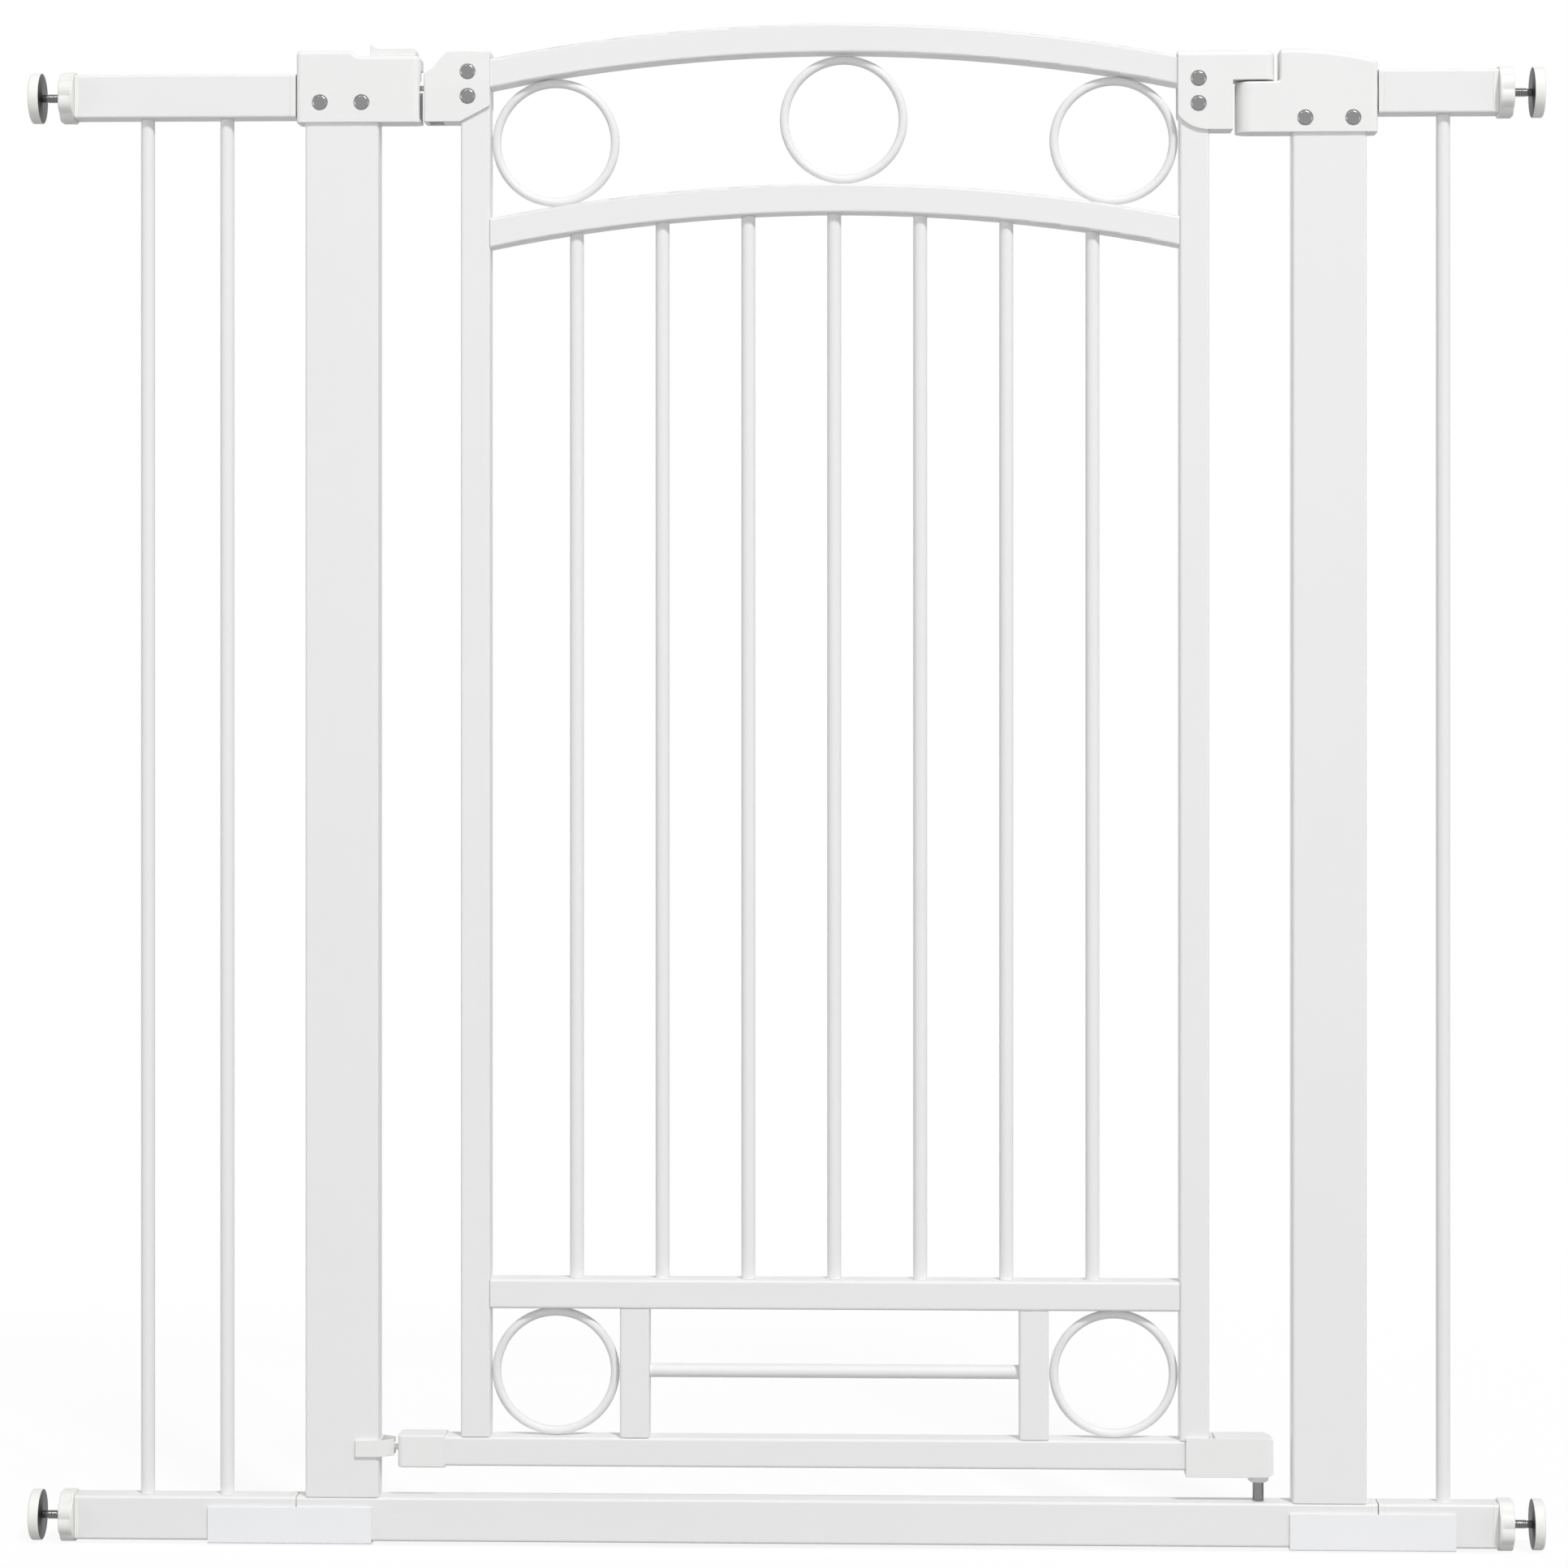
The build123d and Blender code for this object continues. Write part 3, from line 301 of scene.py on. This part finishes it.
def drawnSteel(name, colour, darkColour, roughness, stretch=(1, 1, 0.04)):
    # Steel drawn or ground along one axis
    material, finish = newFinish(name)
    streak = finish.grain(drawn["streak"], stretch=stretch)
    varied = {
        "Base Color": finish.shades(streak, darkColour, colour),
        "Roughness": roughness + (streak - 0.5) * drawn["roughnessSpread"],
        "Normal": finish.relief(streak, drawn["streakDepth"]),
    }
    fixed = {"Metallic": 1.0}
    finish.closePrincipled(fixed, varied)
    return material


coatWhite = powderCoat()
plasticWhite = mouldedPlastic("plasticWhite", **moulded["white"])
plasticCool = mouldedPlastic("plasticCool", **moulded["cool"])
plasticWarm = mouldedPlastic("plasticWarm", **moulded["warm"])
rubberWhite = padRubber()
rivetSteel = turnedSteel("rivetSteel", **turned["rivet"])
discSteel = turnedSteel("discSteel", **turned["disc"])
pinSteel = drawnSteel("pinSteel", **drawn["pin"])
springSteel = drawnSteel("springSteel", **drawn["spring"])
print("finishes: %d materials" % len(bpy.data.materials))


# Carried-over pieces

def dress(names, material):
    for name in names:
        piece = nodes[name]
        piece.data.materials.clear()
        piece.data.materials.append(material)


steelNodes = ["bottom_rail", "latch_post", "hinge_post", "left_bars", "right_bar",
              "door_latch_post", "door_hinge_post", "top_arch_rail", "middle_arch_rail",
              "lower_middle_rail", "door_bottom_rail", "left_short_post", "right_short_post",
              "cross_bar", "door_bars", "arch_rings", "foot_rings", "catch_pin"]
steelNodes += [place + "_tube" for place in places]
headNodes = ["latch_housing", "hinge_housing", "latch_bracket", "hinge_bracket", "latch_end_cap",
             "lower_hinge_bracket", "lower_hinge_bush", "lock_slider"]
trimNodes = ["lower_catch", "rail_end_ring"]
trimNodes += [place + end for place in places for end in ("_joint_insert", "_end_plug")]
channelNodes = ["left_joiner_channel", "right_joiner_channel"]

dress(steelNodes, coatWhite)
dress(headNodes, plasticWhite)
dress(trimNodes, plasticWarm)
dress(channelNodes, plasticCool)
dress(["lower_hinge_pin", "upper_hinge_pin"], pinSteel)
dress(["hinge_spring"], springSteel)
dressed = [node for node in nodes.values() if node.data.materials]
print("carried over: %d nodes dressed" % len(dressed))


# Pieces in mesh code

def makePiece(name, points, faces, material, matrix, body, stoodFor):
    mesh = bpy.data.meshes.new(name)
    mesh.from_pydata(points, [], faces)
    mesh.materials.append(material)
    mesh.shade_smooth()
    mesh.update()
    piece = bpy.data.objects.new(name, mesh)
    bpy.context.scene.collection.objects.link(piece)
    piece.matrix_world = matrix
    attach(piece, body)
    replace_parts(piece, stoodFor)
    return piece


def sharpen(piece, degrees=50):
    # Smooth over rounds, crisp at real corners
    piece.data.set_sharp_from_angle(angle=math.radians(degrees))


def wallFrame(place, node):
    # Local Z points from the wall to the gate, and the origin is the node's wall end, on its axis
    low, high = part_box(node)
    side = -1 if place.startswith("left") else 1
    end = low.x if side < 0 else high.x
    turn = Matrix.Rotation(side * -math.pi / 2, 4, "Y")
    return Matrix.Translation((end, (low.y + high.y) / 2, (low.z + high.z) / 2)) @ turn


def revolve(profile, sides, rim=None):
    # Band of (radius, height) stations round Z. A station on the axis becomes one point. Where
    # a station has a third value, the first is an inset from the rim, and the third its lobe share
    points = []
    rings = []
    for radius, height, *lobed in profile:
        if radius == 0 and not lobed:
            rings.append([len(points)] * sides)
            points.append((0, 0, height))
            continue
        rings.append(list(range(len(points), len(points) + sides)))
        for number in range(sides):
            angle = 2 * math.pi * number / sides
            spread = rim(angle, lobed[0]) - radius if lobed else radius
            points.append((spread * math.cos(angle), spread * math.sin(angle), height))
    onAxis = len(set(rings[0])) == 1
    faces = []
    for here, there in zip(rings, rings[1:] + ([] if onAxis else rings[:1])):
        for number in range(sides):
            after = (number + 1) % sides
            corners = [here[number], here[after], there[after], there[number]]
            faces.append(tuple(dict.fromkeys(corners)))
    return points, faces


def corner(centreRadius, centreHeight, size, start, steps=4):
    # Quarter round of a section, from a start angle in degrees
    stations = []
    for step in range(steps + 1):
        angle = math.radians(start + 90 * step / steps)
        radius = centreRadius + size * math.cos(angle)
        stations.append((radius, centreHeight + size * math.sin(angle)))
    return stations


disc = {
    "thickness": 2.0 * millimetre,
    "edge": 0.15 * millimetre,
    "hub": 3.4 * millimetre,
    "hubRise": 0.25 * millimetre,
    "sides": 96,
}


def steelDisc(place):
    # Pressed disc that carries the rubber cup, with the neck of the screw riveted into it
    node = place + "_spindle"
    low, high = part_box(place + "_wall_pad")
    radius = (high.z - low.z) / 2 - cup["rim"]
    edge = disc["edge"]
    thickness = disc["thickness"]
    hub = disc["hub"]
    rise = disc["hubRise"]
    profile = [(0, 0)]
    profile += corner(radius - edge, edge, edge, -90)
    profile += corner(radius - edge, thickness - edge, edge, 0)
    profile += [(hub + rise, thickness), (hub, thickness + rise), (0, thickness + rise)]
    points, faces = revolve(profile, disc["sides"])
    piece = makePiece(place + "_disc", points, faces, discSteel, wallFrame(place, node),
                      place + "_spindle", node)
    sharpen(piece)


screw = {
    "major": 3.0 * millimetre,
    "core": 2.55 * millimetre,
    "neck": 2.7 * millimetre,
    "neckLength": 3.0 * millimetre,
    "neckFade": 0.3 * millimetre,
    "pitch": 1.0 * millimetre,
    "sides": 32,
    "crest": 0.44,
    "flank": 0.2,
    "runIn": 0.1 * millimetre,
    "point": 0.8 * millimetre,
    "pointShare": 0.8,
    "colour": (0.27, 0.27, 0.27),
    # The root colour is painted shade, darkening the thread's grooves
    "rootShadeColour": (0.15, 0.15, 0.15),
    "neckColour": (0.08, 0.08, 0.08),
    # Scale of the painted root shade: how fast the colour lightens from the roots to the crests
    "rootShading": 0.8,
    "wear": 0.25,
    "grain": 0.0005,
    "grainDepth": 0.000008,
    "roughness": 0.14,
    "rootRoughness": 0.15,
}


def threadSteel():
    # Zinc-coated thread, with painted shade that darkens the roots of the thread, and a darker neck
    # next to the disc
    material, finish = newFinish("threadSteel")
    along = finish.add("ShaderNodeSeparateXYZ", {}, [finish.point()], "Z")
    neckEnd = disc["thickness"] + screw["neckLength"]
    threaded = finish.clamp((along - neckEnd) / screw["neckFade"])
    height = (finish.axisDistance() - screw["core"]) / (screw["major"] - screw["core"])
    grain = finish.grain(screw["grain"], detail=3.0)
    # Painted shade: darker towards the roots of the thread, with random wear on top
    crest = finish.clamp(height * screw["rootShading"] + grain * screw["wear"])
    rootShaded = finish.shades(crest, screw["rootShadeColour"], screw["colour"])
    varied = {
        "Base Color": finish.shades(threaded, screw["neckColour"], rootShaded),
        "Roughness": screw["roughness"] + (1 - crest) * screw["rootRoughness"],
        "Normal": finish.relief(grain, screw["grainDepth"]),
    }
    fixed = {"Metallic": 1.0}
    finish.closePrincipled(fixed, varied)
    return material


screwSteel = threadSteel()


def threadRows(start, length):
    # Helical rows of one thread profile, fading out at both ends
    sides = screw["sides"]
    rows = int(length / screw["pitch"] - 1) * sides
    crest = screw["crest"]
    flank = screw["flank"]
    shape = [(0.0, 0.0), (flank, 1.0), (flank + crest, 1.0), (2 * flank + crest, 0.0)]
    depth = screw["major"] - screw["core"]
    points = []
    for row in range(rows + 1):
        angle = 2 * math.pi * row / sides
        fade = min(1.0, row / sides, (rows - row) / sides)
        for spot, lift in shape:
            radius = screw["core"] + depth * lift * fade
            height = start + screw["pitch"] * (row / sides + spot)
            points.append((radius * math.cos(angle), radius * math.sin(angle), height))
    return points, rows, len(shape)


def screwShank(place):
    # Threaded shank of the spindle, with its plain neck behind the disc
    node = place + "_spindle"
    low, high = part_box(node)
    length = high.x - low.x
    start = disc["thickness"] + screw["neckLength"]
    tip = length - screw["point"]
    points, rows, width = threadRows(start, tip - start)
    sides = screw["sides"]
    faces = []
    for row in range(rows):
        for step in range(width - 1):
            here = row * width + step
            faces.append((here, here + width, here + width + 1, here + 1))
        if row + sides + 1 <= rows:
            here = row * width + width - 1
            up = (row + sides) * width
            faces.append((here, here + width, up + width, up))
    closeEnd(points, faces, width, 0, start - screw["runIn"], screw["neck"], disc["thickness"])
    closeEnd(points, faces, width, rows, tip, screw["core"] * screw["pointShare"], length)
    piece = makePiece(place + "_screw", points, faces, screwSteel, wallFrame(place, node),
                      place + "_spindle", node)
    sharpen(piece)


def closeEnd(points, faces, width, row, height, endRadius, endHeight):
    # Ring, neck or point, and cap that close the thread at its first or its last row
    sides = screw["sides"]
    first = row == 0
    ring = len(points)
    for number in range(sides):
        angle = 2 * math.pi * (number + row) / sides
        points.append((screw["core"] * math.cos(angle), screw["core"] * math.sin(angle), height))
    for number in range(sides):
        angle = 2 * math.pi * (number + row) / sides
        points.append((endRadius * math.cos(angle), endRadius * math.sin(angle), endHeight))
    points.append((0, 0, endHeight))
    for number in range(sides):
        after = (number + 1) % sides
        last = number == sides - 1
        if first:
            column = range(width) if last else ()
            faces.append((ring + number, ring + after, *column,
                          (number + 1) * width, number * width))
        else:
            base = (row - sides + number) * width + width - 1
            column = [row * width + step for step in reversed(range(width))]
            column.append((row - sides) * width + width - 1)
            ahead = column if last else [base + width]
            faces.append((base, *ahead, ring + after, ring + number))
        low, high = (ring + number, ring + after), (ring + sides + number, ring + sides + after)
        tip = ring + 2 * sides
        if first:
            faces.append((high[0], high[1], low[1], low[0]))
            faces.append((tip, high[1], high[0]))
        else:
            faces.append((low[0], low[1], high[1], high[0]))
            faces.append((high[0], high[1], tip))


cup = {
    "wallEdge": 1.5 * millimetre,
    "wallSteps": 8,
    "backEdge": 0.2 * millimetre,
    "rim": 0.35 * millimetre,
    "lip": 0.1 * millimetre,
    "sides": 96,
}


def wallCup(place):
    # Rubber cup with a rounded wall face and a thin rim round the steel disc
    node = place + "_wall_pad"
    low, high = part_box(node)
    radius = (high.z - low.z) / 2
    depth = high.x - low.x
    edge = cup["wallEdge"]
    backEdge = cup["backEdge"]
    inner = radius - cup["rim"]
    floorHeight = depth - disc["thickness"]
    profile = [(0, 0)]
    profile += corner(radius - edge, edge, edge, -90, cup["wallSteps"])
    profile += corner(radius - backEdge, depth - backEdge, backEdge, 0)
    profile += [(inner + cup["lip"], depth), (inner, depth - cup["lip"])]
    profile += [(inner, floorHeight), (0, floorHeight)]
    points, faces = revolve(profile, cup["sides"])
    piece = makePiece(place + "_cup", points, faces, rubberWhite, wallFrame(place, node),
                      place + "_spindle", node)
    sharpen(piece)


wheel = {
    "lobes": 8,
    "lobeDepth": 1.5 * millimetre,
    "valley": 0.05,
    "wallEdge": 0.9 * millimetre,
    "gateEdge": 0.9 * millimetre,
    "runOut": 1.8 * millimetre,
    "gateShare": 0.35,
    "rimSteps": 5,
    "hub": 8.0 * millimetre,
    "hubEdge": 0.5 * millimetre,
    "hubRise": 1.2 * millimetre,
    "bore": 3.05 * millimetre,
    "boreEdge": 0.3 * millimetre,
    "sides": 192,
}


def lobedRim(radius):
    # Full lobes that meet in narrow valleys, flattened to a round where the share is 0
    def rim(angle, share):
        swell = math.sin(wheel["lobes"] * angle / 2)
        lobe = math.hypot(swell, wheel["valley"]) / math.hypot(1, wheel["valley"])
        return radius - wheel["lobeDepth"] * (1 - lobe) * share

    return rim


def rimStations(gateFace, wallFace):
    # Over the rim, from the gate side, where the lobes run out, to the wall side
    stations = []
    steps = wheel["rimSteps"]
    start = wheel["gateShare"]
    edge = wheel["gateEdge"]
    for step in range(steps + 1):
        angle = math.radians(90 * step / steps)
        inset = edge * (1 - math.sin(angle))
        drop = edge * (1 - math.cos(angle))
        stations.append((inset, gateFace - drop, start * drop / edge))
    for step in range(1, steps + 1):
        share = step / steps
        height = gateFace - edge - wheel["runOut"] * share
        stations.append((0, height, start + (1 - start) * share))
    edge = wheel["wallEdge"]
    for step in range(steps + 1):
        angle = math.radians(90 * step / steps)
        inset = edge * (1 - math.cos(angle))
        stations.append((inset, wallFace + edge * (1 - math.sin(angle)), 1))
    return stations


def lobedWheel(place):
    # Hand wheel with soft lobes and a low hub round the screw
    node = place + "_hand_wheel"
    low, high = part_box(node)
    radius = (high.z - low.z) / 2
    thickness = high.x - low.x
    wallFace = wheel["hubRise"]
    hub = wheel["hub"]
    edge = wheel["hubEdge"]
    bore = wheel["bore"]
    boreEdge = wheel["boreEdge"]
    profile = [(bore, thickness)]
    profile += rimStations(thickness, wallFace)
    profile += [(hub + edge, wallFace), (hub, wallFace - edge), (hub, edge), (hub - edge, 0)]
    profile += [(bore + boreEdge, 0), (bore, boreEdge)]
    points, faces = revolve(profile, wheel["sides"], lobedRim(radius))
    faces = [face[::-1] for face in faces]  # this profile runs from the gate to the wall
    piece = makePiece(place + "_lobed_wheel", points, faces, plasticWarm, wallFrame(place, node),
                      place + "_wheel", node)
    sharpen(piece)


weldScale = 1e6  # vertices within about a thousandth of a millimetre are one


def islands(node):
    # Boxes of the separate solids in one node
    mesh = nodes[node].data
    parent = list(range(len(mesh.vertices)))
    seen = {}

    def root(index):
        while parent[index] != index:
            parent[index] = parent[parent[index]]
            index = parent[index]
        return index

    for vertex in mesh.vertices:
        key = tuple(round(value * weldScale) for value in vertex.co)
        parent[root(vertex.index)] = root(seen.setdefault(key, vertex.index))
    for edge in mesh.edges:
        parent[root(edge.vertices[0])] = root(edge.vertices[1])
    groups = {}
    for vertex in mesh.vertices:
        groups.setdefault(root(vertex.index), []).append(vertex.co)
    boxes = []
    for group in groups.values():
        low = Vector([min(point[axis] for point in group) for axis in range(3)])
        high = Vector([max(point[axis] for point in group) for axis in range(3)])
        boxes.append((low, high))
    return sorted(boxes, key=lambda pair: (round(pair[0].x, 3), pair[0].z))


rivet = {
    "dish": 0.10 * millimetre,
    "face": [(1.5, 0.06), (1.05, 0.0), (0.9, 0.02)],  # inset from the rim and depth, in millimetres
    "edge": [(0.25, 0.385), (0.0, 0.715)],
    "head": 1.4 * millimetre,
    "shankShare": 0.5,
    "sides": 64,
}


def rivets(node, body):
    # Rolled rivet heads: a faintly dished face inside a bright sloping edge
    for number, (low, high) in enumerate(islands(node)):
        radius = (high.z - low.z) / 2
        shank = radius * rivet["shankShare"]
        head = rivet["head"]
        deep = high.y - low.y
        profile = [(0, rivet["dish"])]
        for inset, depth in rivet["face"] + rivet["edge"]:
            profile.append((radius - inset * millimetre, depth * millimetre))
        profile += [(radius, head), (shank, head), (shank, deep), (0, deep)]
        points, faces = revolve(profile, rivet["sides"])
        centre = Vector(((low.x + high.x) / 2, low.y, (low.z + high.z) / 2))
        matrix = Matrix.Translation(centre) @ Matrix.Rotation(-math.pi / 2, 4, "X")
        piece = makePiece("%s_%d" % (node[:-1], number + 1), points, faces, rivetSteel, matrix,
                          body, node)
        sharpen(piece, degrees=40)


slideSpring = {
    "strip": 0.4 * millimetre,
    "folds": 5,
    "steps": 16,
    "keep": 0.6,
}


def waveSpring():
    # Folded strip behind the lock slider
    node = "slider_spring"
    low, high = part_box(node)
    count = slideSpring["folds"] * slideSpring["steps"]
    half = slideSpring["strip"] / 2
    length = high.x - low.x
    reach = (high.y - low.y) / 2 - half
    points = []
    faces = []
    for number in range(count + 1):
        phase = math.pi * number / slideSpring["steps"]
        centre = Vector((length * number / count, -reach * math.cos(phase), 0))
        along = Vector((length / slideSpring["folds"], reach * math.pi * math.sin(phase), 0))
        along.normalize()
        across = Vector((-along.y, along.x, 0)) * half
        for spot in (centre - across, centre + across):
            points += [(spot.x, spot.y, 0), (spot.x, spot.y, high.z - low.z)]
        if number:
            back, here = 4 * number - 4, 4 * number
            for first, second in ((0, 1), (1, 3), (3, 2), (2, 0)):
                faces.append((back + first, here + first, here + second, back + second))
    end = 4 * count
    faces += [(0, 1, 3, 2), (end, end + 2, end + 3, end + 1)]
    matrix = Matrix.Translation((low.x, (low.y + high.y) / 2, low.z))
    piece = makePiece("wave_spring", points, faces, springSteel, matrix, "frame", node)
    sharpen(piece, degrees=40)
    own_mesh(piece)


for place in places:
    steelDisc(place)
    screwShank(place)
    wallCup(place)
    lobedWheel(place)
waveSpring()
rivets("housing_rivets", "frame")
rivets("bracket_rivets", "door")
made = [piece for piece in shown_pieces() if piece.get("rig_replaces")]
print("mesh pieces: %d" % len(made))


# Camera, light and floor

view = {
    "place": (0.0879, -2.7688, 0.6102),
    "turn": 1.806,
    "lens": 93.61,
    "sensor": 36,
    "shift": -0.0872,
    "clipEnd": 100,
}


def camera():
    data = bpy.data.cameras.new("frontCamera")
    data.lens = view["lens"]
    data.sensor_width = view["sensor"]
    data.shift_y = view["shift"]
    data.clip_end = view["clipEnd"]
    eye = bpy.data.objects.new("frontCamera", data)
    bpy.context.scene.collection.objects.link(eye)
    eye.location = view["place"]
    eye.rotation_euler = (math.pi / 2, 0, math.radians(view["turn"]))
    bpy.context.scene.camera = eye


light = {
    "sky": 0.34,
    "aim": (0.0, 0.0, 0.45),
    "lamps": {  # matt and gloss say which reflections a lamp takes part in
        "keyLamp": {"place": (3.0, -6.0, 8.1), "size": 1.4, "power": 630,
                    "matt": True, "gloss": True},
        "frontLamp": {"place": (-0.6, -7.5, 0.3), "size": 3.0, "power": 146,
                      "matt": True, "gloss": False},
        "leftLamp": {"place": (-6.4, -2.9, 0.4), "size": 4.0, "power": 135,
                     "matt": True, "gloss": True},
        "rightLamp": {"place": (6.4, -2.9, 0.4), "size": 4.0, "power": 95,
                      "matt": True, "gloss": True},
        "backLamp": {"place": (-1.0, 7.0, 1.6), "size": 4.0, "power": 220,
                     "matt": True, "gloss": False},
        "glintLamp": {"place": (-2.3, -5.9, 7.6), "size": 1.2, "power": 85,
                      "matt": False, "gloss": True},
    },
}


def lamp(name, setting):
    data = bpy.data.lights.new(name, "AREA")
    data.shape = "DISK"
    data.size = setting["size"]
    data.energy = setting["power"]
    unit = bpy.data.objects.new(name, data)
    bpy.context.scene.collection.objects.link(unit)
    unit.location = setting["place"]
    unit.visible_diffuse = setting["matt"]
    unit.visible_glossy = setting["gloss"]
    aim = Vector(light["aim"]) - Vector(setting["place"])
    unit.rotation_euler = aim.to_track_quat("-Z", "Y").to_euler()


def seenRays(finish):
    # 1 for what the eye, a gloss or a clear piece sees, 0 for the light that falls on pieces
    straight = finish.add("ShaderNodeLightPath", {}, output="Is Camera Ray")
    gloss = finish.add("ShaderNodeLightPath", {}, output="Is Glossy Ray")
    clear = finish.add("ShaderNodeLightPath", {}, output="Is Transmission Ray")
    return finish.clamp(straight + gloss + clear)


def sky():
    world = bpy.data.worlds.new("studio")
    bpy.context.scene.world = world
    world.use_nodes = True
    finish = Finish(world.node_tree)
    seen = seenRays(finish)
    strength = light["sky"] + seen * (1 - light["sky"])
    values = {"Color": (1, 1, 1, 1), "Strength": strength}
    shader = finish.add("ShaderNodeBackground", {}, values)
    finish.close(shader, "ShaderNodeOutputWorld")


ground = {
    "reach": 30.0,
    "bounce": (0.38, 0.38, 0.38),
    "shadowShare": 0.12,
    "shadowReach": 1.6,
}


def studioFloor():
    # White to the eye, keeping a soft share of the gate's shadow near it
    reach = ground["reach"]
    level = cadLow.z
    mesh = bpy.data.meshes.new("studioFloor")
    corners = [(-reach, -reach, level), (reach, -reach, level),
               (reach, reach, level), (-reach, reach, level)]
    mesh.from_pydata(corners, [], [(0, 1, 2, 3)])
    floor = bpy.data.objects.new("studioFloor", mesh)
    bpy.context.scene.collection.objects.link(floor)
    material, finish = newFinish("studioFloor")
    mesh.materials.append(material)
    seen = seenRays(finish)
    near = finish.clamp(1 - finish.length(finish.point()) / ground["shadowReach"])
    colour = finish.shades(seen, ground["bounce"], (1, 1, 1))
    matt = finish.add("ShaderNodeBsdfDiffuse", {}, {"Color": colour})
    white = finish.add("ShaderNodeEmission", {}, {"Color": (1, 1, 1, 1), "Strength": 1.0})
    share = seen * (1 - near * ground["shadowShare"])
    finish.close(finish.add("ShaderNodeMixShader", {}, [share, matt, white]))


camera()
sky()
for name, setting in light["lamps"].items():
    lamp(name, setting)
studioFloor()
bpy.context.scene.view_settings.view_transform = "Standard"
print("stage: camera, %d lamps, sky and floor" % len(light["lamps"]))
